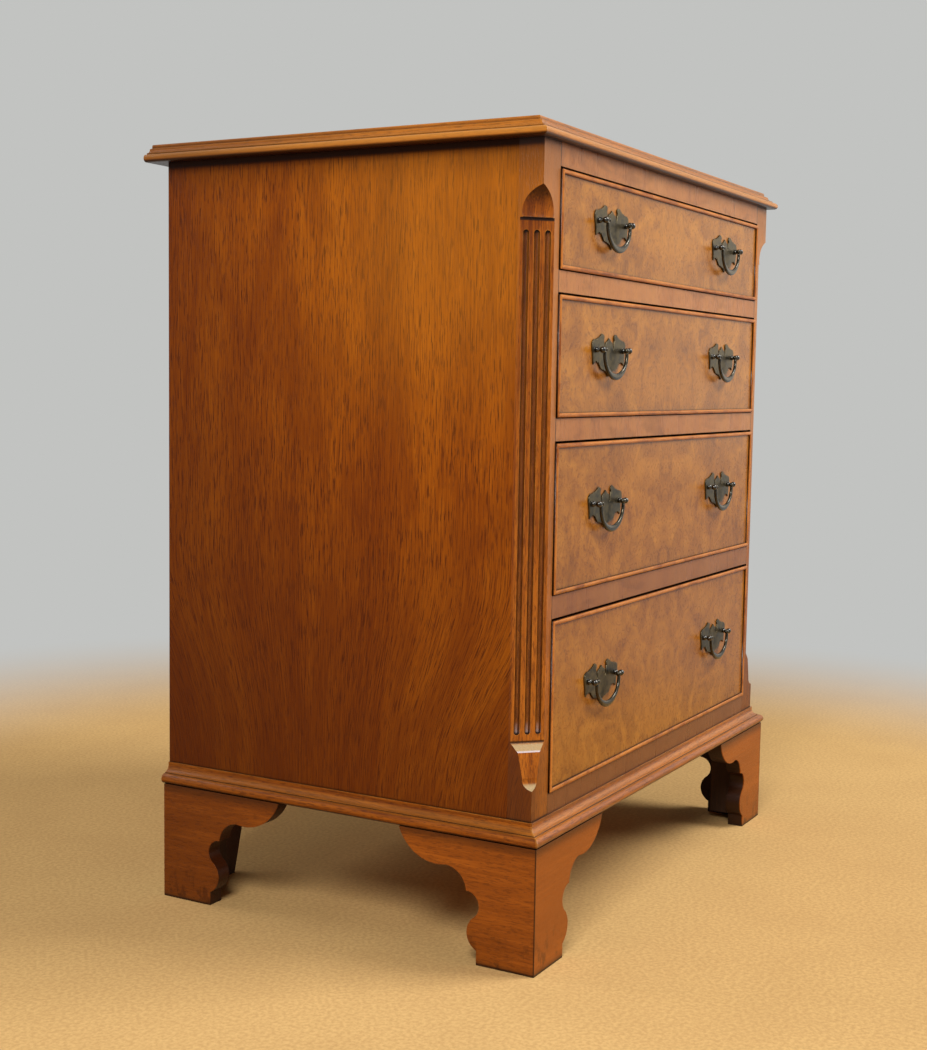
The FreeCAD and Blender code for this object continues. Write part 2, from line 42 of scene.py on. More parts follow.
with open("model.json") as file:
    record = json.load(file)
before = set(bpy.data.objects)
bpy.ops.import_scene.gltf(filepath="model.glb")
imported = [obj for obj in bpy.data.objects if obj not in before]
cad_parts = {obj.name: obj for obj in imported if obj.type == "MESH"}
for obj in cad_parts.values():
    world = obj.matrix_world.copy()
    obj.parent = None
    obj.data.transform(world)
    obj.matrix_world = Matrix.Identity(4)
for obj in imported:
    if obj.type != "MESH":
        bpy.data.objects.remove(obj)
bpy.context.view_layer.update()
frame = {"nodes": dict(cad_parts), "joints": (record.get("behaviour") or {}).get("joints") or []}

DRAWERS = (1, 2, 3, 4)
SIDES = ("left", "right")
FRONT_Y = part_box("drawer_1_front")[0].y
HANDLES = {joint["child"]: Vector(joint["pos_m"])
           for joint in frame["joints"] if joint["type"] == "hinge"}
MM = 0.001
# points closer than this are one point
TOUCHING = 1e-6


def linear(code):
    """An sRGB hex colour as linear red, green and blue."""
    channels = [int(code[place:place + 2], 16) / 255 for place in (1, 3, 5)]
    return [value / 12.92 if value <= 0.04045 else ((value + 0.055) / 1.055) ** 2.4
            for value in channels]


# --- Sizes and colours that a user would change -----------------------

def colour(name, code, words):
    """A colour, from its sRGB hex code."""
    return FloatVectorProperty(name=name, description=words, subtype="COLOR", size=3,
                               min=0.0, max=1.0, default=linear(code))


def length(name, millimetres, words):
    """A length, from its value in millimetres."""
    return FloatProperty(name=name, description=words, unit="LENGTH", default=millimetres * MM)


def share(name, default, words):
    """A strength between none and all."""
    return FloatProperty(name=name, description=words, subtype="FACTOR", min=0.0, max=1.0,
                         default=default)


def power(name, watts, words):
    """The power of a lamp."""
    return FloatProperty(name=name, description=words, unit="POWER", default=watts)


class ChestTimber(bpy.types.PropertyGroup):
    """Colours of the timbers"""
    veneer_light: colour("Side veneer, light", "#bb6912", "Light grain of the side veneers")
    veneer_mid: colour("Side veneer, middle", "#a0530b", "Middle tone of the side veneers")
    veneer_dark: colour("Side veneer, dark", "#7c3907", "Dark grain of the side veneers")
    # painted shade near the floor and towards the back
    veneer_painted_shade: colour("Side veneer, deep", "#451a06", "Darkened polish near the floor and back")
    # painted light high on the side panels and near the front
    veneer_painted_light: colour("Side veneer, faded", "#c68328", "Veneer faded by daylight, high in front")
    veneer_pores: share("Side veneer, pores", 0.8, "How strongly the pores show")
    solid_light: colour("Solid walnut, light", "#b4681c", "Light grain of posts and mouldings")
    solid_mid: colour("Solid walnut, middle", "#9a5310", "Middle tone of posts and mouldings")
    solid_dark: colour("Solid walnut, dark", "#6c3308", "Dark grain of posts and mouldings")
    # rubbed walnut, also laid as a painted highlight on the mouldings' swells and a painted sheen
    # above the top one
    solid_worn_and_highlight: colour("Solid walnut, worn", "#cb8b3c", "Walnut where the stain has rubbed through")
    # rubbed pale with a painted highlight on the lamb's tongues' upward slopes
    solid_pale_and_highlight: colour("Solid walnut, pale", "#b3a077", "Bare ledges of the lamb's tongues")
    # rubbed bare with a painted highlight on the lamb's tongues' lips and the feet of the flutes
    solid_bare_and_highlight: colour("Solid walnut, bare", "#cbbcc0", "Lips of the lamb's tongues, rubbed bare")
    # painted shade on the posts' flat faces at both ends
    solid_painted_shade: colour("Solid walnut, deep", "#4a240a", "Darkened polish at both ends of the posts")
    # strength of the rubbing and painted highlight on the ledges
    ledge_rubbing_and_highlight: share("Ledge wear", 0.75, "How bare the lamb's tongues' ledges are")
    foot_light: colour("Feet, light", "#a35715", "Light grain of the bracket feet")
    foot_mid: colour("Feet, middle", "#8c4810", "Middle tone of the bracket feet")
    foot_dark: colour("Feet, dark", "#7f3f0b", "Dark grain of the bracket feet")
    # the light tone of the rails' grain, also laid as painted light on the posts' front faces
    rail_light_and_front_sheen: colour("Rails, light", "#b77c48", "Light grain of the cross-banded rails")
    rail_mid: colour("Rails, middle", "#ae7140", "Middle tone of the cross-banded rails")
    rail_dark: colour("Rails, dark", "#9f6439", "Dark grain of the cross-banded rails")
    rail_deep: colour("Rails, deep", "#633519", "Darkened polish on the lower rails and at joints")
    burr_light: colour("Burr, light", "#bd7f2e", "Light clouds of the burr veneer")
    burr_mid: colour("Burr, middle", "#9e6320", "Middle tone of the burr veneer")
    # the dark tone of the burr, also laid as painted shade low on the drawer fronts
    burr_dark_and_shade: colour("Burr, dark", "#7b4614", "Dark curls of the burr veneer")
    burr_eye: colour("Burr, eyes", "#5d3312", "Small dark eyes and stains of the burr veneer")
    bead_light: colour("Beads, light", "#c67d34", "Rubbed nose of the cock beads")
    bead_mid: colour("Beads, middle", "#a15a1e", "Middle tone of the cock beads")
    # the dark tone of the beads' grain; the dark at their root is painted shade
    bead_dark: colour("Beads, dark", "#6e3412", "Root of the cock beads, dark with polish")
    lining_light: colour("Drawer lining, light", "#c9a878", "Light grain of the drawer linings")
    lining_dark: colour("Drawer lining, dark", "#a07c4e", "Dark grain of the drawer linings")
    pine_light: colour("Pine, light", "#b98c58", "Light grain of the unseen boards")
    pine_dark: colour("Pine, dark", "#8a5d33", "Dark grain of the unseen boards")
    # the glue blocks' stain with painted shade
    block_stain_and_shade_light: colour("Glue blocks, light", "#4a2f1b", "Light grain of the stained glue blocks")
    block_stain_and_shade_dark: colour("Glue blocks, dark", "#2c1a0e", "Dark grain of the stained glue blocks")
    pores: colour("Pores", "#471d09", "Open pores of the walnut, filled with dark polish")
    # this colour is also painted shade in corners and hollows, under overhangs, on faces that look
    # down and at the feet
    grime_and_painted_shade: colour("Grime", "#241005", "Old polish and dust in the corners")


class ChestHandles(bpy.types.PropertyGroup):
    """Sizes and colours of the handles"""
    post_spacing: length("Post spacing", 62.0, "Distance between the two posts of a handle")
    head_radius: length("Head radius", 3.1, "Radius of the ball at the end of a post")
    collar_radius: length("Collar radius", 2.9, "Radius of the ball at the foot of a post")
    plate_thickness: length("Plate thickness", 1.4, "Thickness of a backplate")
    bail_arm: length("Bail arm", 3.1, "Width of the bail's arms")
    bail_thickness: length("Bail thickness", 3.2, "Thickness of the bail from front to back")
    bail_grip: length("Bail grip", 6.4, "Height of the bail's grip")
    knuckle_radius: length("Knuckle radius", 2.6, "Radius of the ball at the top of a bail's arm")
    bail_drop: length("Bail drop", 28.3, "How far the bail hangs below its pins")
    metal: colour("Metal", "#665a40", "Oxidised brass of the handles")
    metal_dark: colour("Metal, dark", "#1c1a15", "Old brown tarnish in the hollows")
    metal_worn: colour("Metal, worn", "#8c7f5e", "Brass showing through on the plates' edges")
    metal_bloom: colour("Metal, bloom", "#625e4c", "Dull grey green bloom on the plates")


class ChestStage(bpy.types.PropertyGroup):
    """Floor, lamps and camera"""
    floor: colour("Floor", "#d3ac70", "Plain pale floor")
    floor_worn: colour("Floor, worn", "#a88050", "Shaded roots of the floor's short pile")
    wall: colour("Wall", "#c2c3c1", "Pale background")
    lens: FloatProperty(name="Lens", description="Focal length of the camera", unit="CAMERA",
                        default=53.0)
    key_power: power("Key power", 118.0, "Power of the large lamp in front")
    fill_power: power("Fill power", 85.0, "Power of the lamp at the side")
    back_power: power("Back power", 24.0, "Power of the lamp behind the chest")
    sheen_power: power("Sheen power", 4.5, "Power of the lamp that the drawers mirror")
    world_strength: FloatProperty(name="World strength", description="Light from all round",
                                  default=0.14)


# --- Node helper ------------------------------------------------------

def add(tree, kind, inputs=None, out=0, stops=None, **settings):
    """Adds one node with its settings and links, and gives back one of its outputs."""
    made = tree.nodes.new(kind)
    for name, value in settings.items():
        setattr(made, name, value)
    for name, value in (inputs or {}).items():
        socket = made.inputs[name]
        if isinstance(value, bpy.types.NodeSocket):
            tree.links.new(value, socket)
        elif socket.type == "RGBA":
            socket.default_value = (*value, 1.0)[:4]
        else:
            socket.default_value = value
    if stops:
        ramp = made.color_ramp.elements
        while len(ramp) < len(stops):
            ramp.new(0.5)
        for element, (place, value) in zip(ramp, stops):
            element.position = place
            element.color = (*value, 1.0)
    return made.outputs[out] if made.outputs else made


# --- Marks that the finishes share ------------------------------------

# where the dark, middle and light tones of planed timber lie in its noise
PLANED_RAMP = (0.36, 0.5, 0.64)


class Finish:
    """A material laid up mark by mark: its nodes, where each point lies and which way it faces,
    and the colour so far. The size of grain, how far a hollow or an arris reaches and the depth
    of the relief are in millimetres; places and the reach of what is nearby are in metres."""

    def __init__(self, name, shade=None):
        self.material = bpy.data.materials.new(name)
        self.material.use_nodes = True
        self.tree = self.material.node_tree
        self.tree.nodes.clear()
        self.shade = shade
        found = add(self.tree, "ShaderNodeTexCoord").node.outputs
        self.place, self.facing = found["Object"], found["Normal"]
        split = add(self.tree, "ShaderNodeSeparateXYZ", {0: self.place})
        self.x, self.y, self.z = split.node.outputs

    def lay(self, tone, *masks):
        """Lays a tone over the colour so far, as strongly as its masks allow together."""
        strength = masks[0]
        for mask in masks[1:]:
            strength = add(self.tree, "ShaderNodeMath", {0: strength, 1: mask},
                           operation="MULTIPLY")
        self.shade = add(self.tree, "ShaderNodeMix", {0: strength, 6: self.shade, 7: tone}, out=2,
                         data_type="RGBA")

    def grained(self, grain, width, run, seed, detail=3.0, curl=0.0, place=None):
        """Noise drawn out along the grain: its marks are about width across and run long."""
        scale = [1 / (width * MM)] * 3
        scale["XYZ".index(grain)] = 1 / (run * MM)
        place = self.place if place is None else place
        spot = add(self.tree, "ShaderNodeMapping", {"Vector": place, "Scale": scale,
                                                    "Location": (seed, seed, seed)})
        return add(self.tree, "ShaderNodeTexNoise", {"Vector": spot, "Scale": 1.0, "Detail": detail,
                                                     "Roughness": 0.6, "Distortion": curl})

    def risen(self, value, low, high, strength=1.0):
        """A mask that rises softly to strength as the value goes from low to high."""
        mask = add(self.tree, "ShaderNodeMapRange", {0: value, 1: low, 2: high},
                   interpolation_type="SMOOTHSTEP")
        return add(self.tree, "ShaderNodeMath", {0: mask, 1: strength}, operation="MULTIPLY")

    def faced(self, axis, low, high, strength=1.0):
        """A mask that rises as the way faces look goes from low to high along one axis."""
        part = add(self.tree, "ShaderNodeSeparateXYZ", {0: self.facing}, out="XYZ".index(axis))
        return self.risen(part, low, high, strength)

    def sideways(self, low, high):
        """A mask of the faces that look to the left or the right."""
        part = add(self.tree, "ShaderNodeSeparateXYZ", {0: self.facing})
        part = add(self.tree, "ShaderNodeMath", {0: part}, operation="ABSOLUTE")
        return self.risen(part, low, high)

    def nearby(self, value, centre, reach, strength=1.0):
        """A mask of the values within reach of a centre."""
        apart = add(self.tree, "ShaderNodeMath", {0: value, 1: centre}, operation="SUBTRACT")
        apart = add(self.tree, "ShaderNodeMath", {0: apart}, operation="ABSOLUTE")
        return self.risen(apart, reach, reach * 0.5, strength)

    def hollows(self, reach, strength):
        """A mask of the corners and hollows that are closer than reach."""
        openness = add(self.tree, "ShaderNodeAmbientOcclusion", {"Distance": reach * MM}, out=1,
                       samples=8)
        return self.risen(openness, 0.95, 0.42, strength)

    def arrises(self, reach, strength):
        """A mask of the outer edges where hands and dusters rub, here and there."""
        openness = add(self.tree, "ShaderNodeAmbientOcclusion", {"Distance": reach * MM}, out=1,
                       samples=8, inside=True)
        edge = self.risen(openness, 0.92, 0.55)
        rubbed = self.risen(self.grained("X", 22, 22, 4.0), 0.34, 0.6, strength)
        return add(self.tree, "ShaderNodeMath", {0: edge, 1: rubbed}, operation="MULTIPLY")

    def planed(self, grain, tones, band, streak, pore, pore_tone, seed, pore_strength=0.55,
               place=None):
        """Lays planed timber: broad bands, fine streaks and open pores, each given as (width,
        run). Gives back its relief and its streaks."""
        bands = self.grained(grain, *band, seed, 2.0, 0.3, place)
        streaks = self.grained(grain, *streak, seed, 5.0, place=place)
        tone = add(self.tree, "ShaderNodeMath", {0: bands, 1: streaks}, operation="ADD")
        tone = add(self.tree, "ShaderNodeMath", {0: tone, 1: 0.5}, operation="MULTIPLY")
        self.shade = add(self.tree, "ShaderNodeValToRGB", {0: tone},
                         stops=list(zip(PLANED_RAMP, tones)))
        pores = self.risen(self.grained(grain, *pore, seed + 3.0, 2.0, place=place), 0.535, 0.61)
        self.lay(pore_tone, pores, pore_strength)
        sunk = add(self.tree, "ShaderNodeMath", {0: pores, 1: -1.0}, operation="MULTIPLY")
        relief = add(self.tree, "ShaderNodeMath", {0: streaks, 1: 0.3, 2: sunk},
                     operation="MULTIPLY_ADD")
        return relief, streaks

    def polished(self, relief, sheen, gloss, specular, coat=0.0, edge=0.5, depth=0.10):
        """Joins colour and relief to a polished surface with eased arrises. Gloss is the
        roughness of its shiniest and its dullest parts."""
        eased = add(self.tree, "ShaderNodeBevel", {"Radius": edge * MM}, samples=4)
        bumped = add(self.tree, "ShaderNodeBump", {"Height": relief, "Distance": depth * MM,
                                                   "Strength": 0.6, "Normal": eased})
        dulled = add(self.tree, "ShaderNodeMapRange",
                     {0: sheen, 1: 0.3, 2: 0.7, 3: gloss[0], 4: gloss[1]})
        shader = add(self.tree, "ShaderNodeBsdfPrincipled", {
            "Base Color": self.shade, "Roughness": dulled, "IOR": 1.5,
            "Specular IOR Level": specular, "Coat Weight": coat, "Coat Roughness": 0.16,
            "Normal": bumped})
        add(self.tree, "ShaderNodeOutputMaterial", {"Surface": shader})
        return self.material


# --- Timbers ----------------------------------------------------------

def painted_shade_towards_back(wood, timber, strength):
    """Painted shade, darker towards the back."""
    wood.lay(timber.veneer_painted_shade, wood.risen(wood.y, -0.10, 0.21, strength))


def veneered(wood, timber):
    """Lays the side veneer: upright grain whose lines draw together low on the panel, short dark
    pores, painted light and shade, and a painted shadow under the top. Gives back its relief and
    its streaks."""
    # the lines of the grain close in on the middle of the panel towards its foot
    closing = add(wood.tree, "ShaderNodeMapRange", {0: wood.z, 1: 0.38, 2: 0.10, 3: 1.0, 4: 1.5},
                  interpolation_type="SMOOTHERSTEP")
    across = add(wood.tree, "ShaderNodeMath", {0: wood.y, 1: 0.02}, operation="SUBTRACT")
    across = add(wood.tree, "ShaderNodeMath", {0: across, 1: closing}, operation="MULTIPLY")
    figure = add(wood.tree, "ShaderNodeCombineXYZ", {0: wood.x, 1: across, 2: wood.z})
    tones = (timber.veneer_dark, timber.veneer_mid, timber.veneer_light)
    # pores are about 0.2 mm wide, and are drawn five times as wide so that they show
    relief, streaks = wood.planed("Z", tones, (70, 900), (1.4, 55), (1.05, 20), timber.pores, 3.1,
                                  timber.veneer_pores, figure)
    clouds = wood.grained("Z", 46, 170, 2.0, 3.0, 0.8, figure)
    wood.lay(timber.veneer_dark, wood.risen(clouds, 0.44, 0.66), 0.5)
    # painted light high near the front, and painted shade towards the floor and the back
    wood.lay(timber.veneer_painted_light, wood.risen(wood.z, 0.42, 0.66),
             wood.risen(wood.y, 0.10, -0.10, 0.28))
    wood.lay(timber.veneer_painted_shade, wood.risen(wood.z, 0.66, 0.10, 0.60))
    painted_shade_towards_back(wood, timber, 0.50)
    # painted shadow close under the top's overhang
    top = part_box("side_panel_left")[1].z
    wood.lay(timber.grime_and_painted_shade, wood.risen(wood.z, top - 40 * MM, top, 0.45))
    wood.lay(timber.grime_and_painted_shade, wood.risen(wood.z, top - 8 * MM, top - 4 * MM, 0.95))
    return relief, streaks


def side_veneer(timber):
    """Walnut veneer, knife cut and french polished: a warm satin face, with painted shade near the
    floor and in the corners, and a painted shadow close under the top."""
    wood = Finish("walnut_veneer_french_polished")
    relief, streaks = veneered(wood, timber)
    # painted shade in the corners
    wood.lay(timber.grime_and_painted_shade, wood.hollows(22, 0.7))
    return wood.polished(relief, streaks, (0.36, 0.48), 0.1)


def solid_walnut(name, timber, grain, seed, rubbed=0.4, shine=0.2):
    """Solid walnut, planed and moulded, stained and french polished: straight grain with dark
    pores, painted shade in the hollows, under the overhangs and towards the back, rubbed paler
    on its arrises, and a painted highlight with rubbing on the swell of each moulding."""
    wood = Finish(name)
    tones = (timber.solid_dark, timber.solid_mid, timber.solid_light)
    relief, streaks = wood.planed(grain, tones, (24, 380), (2.6, 90), (1.0, 9), timber.pores, seed)
    if rubbed:
        # a painted highlight with rubbing on the swell of each moulding's bead, and a painted sheen
        # above the top one
        top_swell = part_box("top_edge_front")[0].z + 5.0 * MM
        base_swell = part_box("base_moulding_front")[0].z + 12.5 * MM
        swell_rubbing_and_highlight = add(wood.tree, "ShaderNodeMath", {
            0: wood.nearby(wood.z, top_swell, 4.2 * MM, 0.55),
            1: wood.nearby(wood.z, base_swell, 4.0 * MM, 0.16)}, operation="ADD")
        wood.lay(timber.solid_worn_and_highlight, swell_rubbing_and_highlight)
        wood.lay(timber.solid_worn_and_highlight, wood.risen(wood.z, top_swell, top_swell + 4.0 * MM, 0.24))
        wood.lay(timber.solid_worn_and_highlight, wood.arrises(1.4, rubbed))
    painted_shade_towards_back(wood, timber, 0.45)
    # painted shade in the hollows
    wood.lay(timber.grime_and_painted_shade, wood.hollows(5, 1.0))
    # painted shade on faces that look down, under the overhangs
    wood.lay(timber.grime_and_painted_shade, wood.faced("Z", -0.15, -0.80, 0.92))
    return wood.polished(relief, streaks, (0.26, 0.42), shine)


def post_walnut(timber):
    """Solid walnut posts, carved and french polished: nearly black painted shade lies in the
    flutes, the scoop and the quirks, and the slopes of the lamb's tongue are rubbed pale with a
    painted highlight."""
    wood = Finish("walnut_posts_carved_polished")
    low, high = (corner.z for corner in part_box("corner_post_left"))
    tones = (timber.solid_dark, timber.solid_mid, timber.solid_light)
    relief, streaks = wood.planed("Z", tones, (30, 500), (2.0, 60), (1.1, 10), timber.pores, 2.3)
    smears = wood.risen(wood.grained("Z", 16, 70, 6.0, 4.0, 0.5), 0.46, 0.66, 0.5)
    wood.lay(timber.solid_dark, smears)
    wood.lay(timber.solid_worn_and_highlight, wood.arrises(1.8, 0.45))
    carved = post_faces(wood, timber, low, high)
    # painted shade in the flutes, the scoop and the corners
    wood.lay(timber.grime_and_painted_shade, wood.hollows(7, 1.0))
    wood.lay(timber.grime_and_painted_shade, wood.hollows(3.5, 0.6))
    # painted shade on faces that look down, darkest at the scoop's top, and a painted shadow line
    # at the quirk below it
    wood.lay(timber.grime_and_painted_shade, wood.faced("Z", -0.10, -0.75, 0.75))
    quirk = high - 68.6 * MM
    wood.lay(timber.grime_and_painted_shade, wood.nearby(wood.z, quirk, 2.0 * MM, 0.95), carved)
    lambs_tongue(wood, timber, low, carved)
    return wood.polished(relief, streaks, (0.26, 0.42), 0.25, edge=0.3)


def post_faces(wood, timber, low, high):
    """Lays the flat faces of the posts, with painted light and shade, and gives back a mask of what
    is carved between them.
    """
    solid = wood.shade
    # the side veneer runs over the post's outer face
    sideways = wood.sideways(0.93, 0.98)
    veneered(wood, timber)
    veneer, wood.shade = wood.shade, solid
    wood.lay(veneer, sideways)
    forward = wood.faced("Y", -0.93, -0.98)
    # painted light: the post's front faces take the rails' light tone, more so higher up
    wood.lay(timber.rail_light_and_front_sheen, forward, wood.risen(wood.z, 0.20, 0.60, 0.6))
    # painted shade darkens both ends of its flat faces, so that the lamb's tongue stands out on it
    flat = add(wood.tree, "ShaderNodeMath", {0: sideways, 1: forward}, operation="MAXIMUM")
    wood.lay(timber.solid_painted_shade, flat, wood.risen(wood.z, low + 130 * MM, low + 60 * MM, 0.4))
    wood.lay(timber.solid_painted_shade, flat, wood.risen(wood.z, high - 50 * MM, high - 20 * MM, 0.22))
    return wood.risen(flat, 1.0, 0.0)


def lambs_tongue(wood, timber, low, carved):
    """Rubs the slopes of the lamb's tongue paler towards their lower edges, with a painted
    highlight, and lays painted shade in the crease above them and rubbing with a painted highlight
    at the feet of the flutes."""
    shelf, lip, neck, tip = (low + rise * MM for rise in (92.0, 82.3, 59.5, 49.0))
    slopes = wood.faced("Z", 0.25, 0.5)
    above_neck = wood.risen(wood.z, neck + 4 * MM, neck + 6 * MM)
    # painted shade in the crease above the shelf
    wood.lay(timber.grime_and_painted_shade, wood.nearby(wood.z, shelf - 1.2 * MM, 1.5 * MM, 0.85), carved)
    # rubbing and a painted highlight at the feet of the flutes
    flute_foot_rubbing_and_highlight = wood.risen(wood.z, low + 110 * MM, low + 103 * MM, 0.7)
    wood.lay(timber.solid_bare_and_highlight, flute_foot_rubbing_and_highlight, wood.hollows(5, 0.8), carved,
             wood.risen(wood.z, low + 98 * MM, low + 100 * MM))
    # rubbing and a painted highlight on the upward slopes and the lip
    slope_rubbing_and_highlight = timber.ledge_rubbing_and_highlight
    wood.lay(timber.solid_pale_and_highlight, slopes, above_neck,
             wood.risen(wood.z, shelf - 1.5 * MM, shelf - 4.0 * MM, slope_rubbing_and_highlight))
    wood.lay(timber.solid_pale_and_highlight, slopes, wood.risen(wood.z, neck + 1.0 * MM, tip + 2.0 * MM, slope_rubbing_and_highlight))
    wood.lay(timber.solid_bare_and_highlight, slopes, above_neck,
             wood.risen(wood.z, lip + 1.6 * MM, lip + 0.9 * MM, 0.9))


def foot_walnut(timber):
    """Solid walnut brackets, band sawn and polished: the grain runs along each board, the sawn
    edges are stained dark with painted shade, painted shadows lie under the moulding and at the
    floor, and the toes are scuffed."""
    wood = Finish("walnut_brackets_polished")
    tones = (timber.foot_dark, timber.foot_mid, timber.foot_light)
    marks = ((30, 260), (2.6, 60), (1.1, 8), timber.pores)
    relief, streaks = wood.planed("Y", tones, *marks, 1.7, 0.35)
    sides = wood.shade
    wood.planed("X", tones, *marks, 5.2, 0.35)
    wood.lay(timber.foot_light, 0.45)
    wood.lay(sides, wood.sideways(0.5, 0.8))
    # only the outer faces were polished: the sawn edges and the insides are stained dark, with
    # painted shade on top
    low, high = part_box("front_foot_right")
    outward = add(wood.tree, "ShaderNodeMath", {0: wood.x}, operation="ABSOLUTE")
    outer = wood.risen(outward, high.x - 1.5 * MM, high.x - 0.5 * MM)
    front = wood.risen(wood.y, low.y + 1.5 * MM, low.y + 0.5 * MM)
    either = add(wood.tree, "ShaderNodeMath", {0: outer, 1: front}, operation="MAXIMUM")
    wood.lay(timber.grime_and_painted_shade, wood.risen(either, 1.0, 0.0, 0.97))
    # a dark line of glue shows at the mitre
    wood.lay(timber.grime_and_painted_shade, outer, front, 0.8)
    scuffs = wood.risen(wood.grained("Z", 14, 22, 6.0, 5.0), 0.5, 0.62)
    wood.lay(timber.grime_and_painted_shade, scuffs, wood.risen(wood.z, 0.05, 0.0, 0.55))
    painted_shade_towards_back(wood, timber, 0.45)
    # painted shadow under the base moulding's bead
    wood.lay(timber.grime_and_painted_shade, wood.risen(wood.z, high.z - 12 * MM, high.z - 1 * MM, 0.6))
    # painted contact shadow where the toes meet the floor
    wood.lay(timber.grime_and_painted_shade, wood.risen(wood.z, 3.0 * MM, 1.0 * MM, 0.8))
    # painted shade in the corners
    wood.lay(timber.grime_and_painted_shade, wood.hollows(10, 0.8))
    return wood.polished(relief, streaks, (0.30, 0.46), 0.22)


def rail_walnut(timber):
    """Walnut veneer laid across the rails and polished: short upright grain, a little pink, with
    a fine dark joint at each post and one in the top rail."""
    wood = Finish("walnut_crossband_polished")
    tones = (timber.rail_dark, timber.rail_mid, timber.rail_light_and_front_sheen)
    relief, streaks = wood.planed("Z", tones, (70, 400), (16.0, 160), (1.0, 8), timber.pores, 7.3,
                                  0.25)
    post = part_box("corner_post_right")[0].x
    outward = add(wood.tree, "ShaderNodeMath", {0: wood.x}, operation="ABSOLUTE")
    wood.lay(timber.grime_and_painted_shade, wood.risen(outward, post - 1.8 * MM, post - 0.9 * MM, 0.9))
    # only the top rail, above 710 mm, has a joint in its length
    joint, above = 186 * MM, 710 * MM
    wood.lay(timber.rail_deep, wood.nearby(wood.x, joint, 1.2 * MM, 0.6),
             wood.risen(wood.z, above, above + 2 * MM))
    smears = wood.risen(wood.grained("X", 18, 60, 4.0, 4.0, 0.6), 0.5, 0.68)
    wood.lay(timber.rail_deep, smears, 0.35)
    # painted shade in the corners
    wood.lay(timber.grime_and_painted_shade, wood.hollows(5, 0.6))
    # darker low on the front
    wood.lay(timber.rail_deep, wood.risen(wood.z, 0.58, 0.13, 0.75))
    return wood.polished(relief, streaks, (0.24, 0.36), 0.25)


def burr_veneer(timber):
    """Burr walnut veneer, bookmatched about the middle and french polished over a plain walnut
    core: soft clouds, curling fibres and small dark eyes under a clear shine."""
    wood = Finish("burr_walnut_veneer_polished")
    folded = add(wood.tree, "ShaderNodeMath", {0: wood.x}, operation="ABSOLUTE")
    folded = add(wood.tree, "ShaderNodeCombineXYZ", {0: folded, 1: wood.y, 2: wood.z})
    clouds = wood.grained("Z", 44, 44, 1.0, 4.0, 1.4, folded)
    curls = wood.grained("Z", 12, 14, 2.0, 6.0, 3.0, folded)
    fibres = wood.grained("Z", 2.0, 5.0, 3.0, 3.0, 2.0, folded)
    tone = 0.0
    for marks, weight in ((clouds, 0.50), (curls, 0.36), (fibres, 0.14)):
        tone = add(wood.tree, "ShaderNodeMath", {0: marks, 1: weight, 2: tone},
                   operation="MULTIPLY_ADD")
    wood.shade = add(wood.tree, "ShaderNodeValToRGB", {0: tone}, stops=[
        (0.36, timber.burr_dark_and_shade), (0.50, timber.burr_mid), (0.66, timber.burr_light)])
    # eyes are 1 to 3 mm across, in loose groups
    eyes = add(wood.tree, "ShaderNodeTexVoronoi", {"Vector": folded, "Scale": 150.0,
                                                   "Randomness": 1.0})
    groups = wood.risen(wood.grained("Z", 34, 34, 7.0, 3.0, 0.5, folded), 0.50, 0.62)
    wood.lay(timber.burr_eye, wood.risen(eyes, 0.30, 0.10, 0.55), groups)
    stains = wood.risen(wood.grained("Z", 26, 34, 9.0, 5.0, 1.2, folded), 0.48, 0.66)
    wood.lay(timber.burr_eye, stains, 0.18)
    # painted shade: the lower drawer fronts are darker
    wood.lay(timber.burr_dark_and_shade, wood.risen(wood.z, 0.52, 0.40, 0.15))
    # only the face is veneered
    burr, wood.shade = wood.shade, timber.lining_dark
    wood.lay(burr, wood.faced("Y", -0.4, -0.8))
    # painted shade in the corners round the front
    wood.lay(timber.grime_and_painted_shade, wood.hollows(10, 0.7))
    relief = add(wood.tree, "ShaderNodeMath", {0: fibres, 1: curls}, operation="ADD")
    return wood.polished(relief, curls, (0.24, 0.34), 0.2, coat=0.12, depth=0.04)


def bead_walnut(name, timber, grain, seed):
    """Solid walnut beads, scraped and polished: painted shade at the root, rubbed to orange on the
    nose."""
    wood = Finish(name)
    tones = (timber.bead_dark, timber.bead_mid, timber.bead_light)
    relief, streaks = wood.planed(grain, tones, (9, 180), (1.6, 60), (0.8, 7), timber.pores, seed,
                                  0.3)
    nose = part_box("drawer_1_cock_beads")[0].y
    wood.lay(timber.bead_light, wood.risen(wood.y, nose + 1.5 * MM, nose + 0.3 * MM),
             wood.risen(wood.grained("X", 26, 26, 5.0), 0.36, 0.6, 0.7))
    # painted shade at the root
    wood.lay(timber.grime_and_painted_shade, wood.hollows(5, 1.0))
    # the flanks, turned away from the front, are darker
    wood.lay(timber.grime_and_painted_shade, wood.faced("Y", -0.42, -0.20, 0.9))
    return wood.polished(relief, streaks, (0.26, 0.38), 0.25, edge=0.2)


def bare_timber(name, grain, light, dark, pores, band, seed):
    """Planed timber left unpolished: dry and dull, with open grain and painted shade in its
    corners.
    """
    wood = Finish(name)
    middle = [(first + second) / 2 for first, second in zip(light, dark)]
    relief, streaks = wood.planed(grain, (dark, middle, light), band, (2.6, 120), (0.8, 10), pores,
                                  seed, 0.25)
    # painted shade in the corners
    wood.lay(pores, wood.hollows(14, 0.5))
    return wood.polished(relief, streaks, (0.62, 0.80), 0.25)


# --- Metal ------------------------------------------------------------

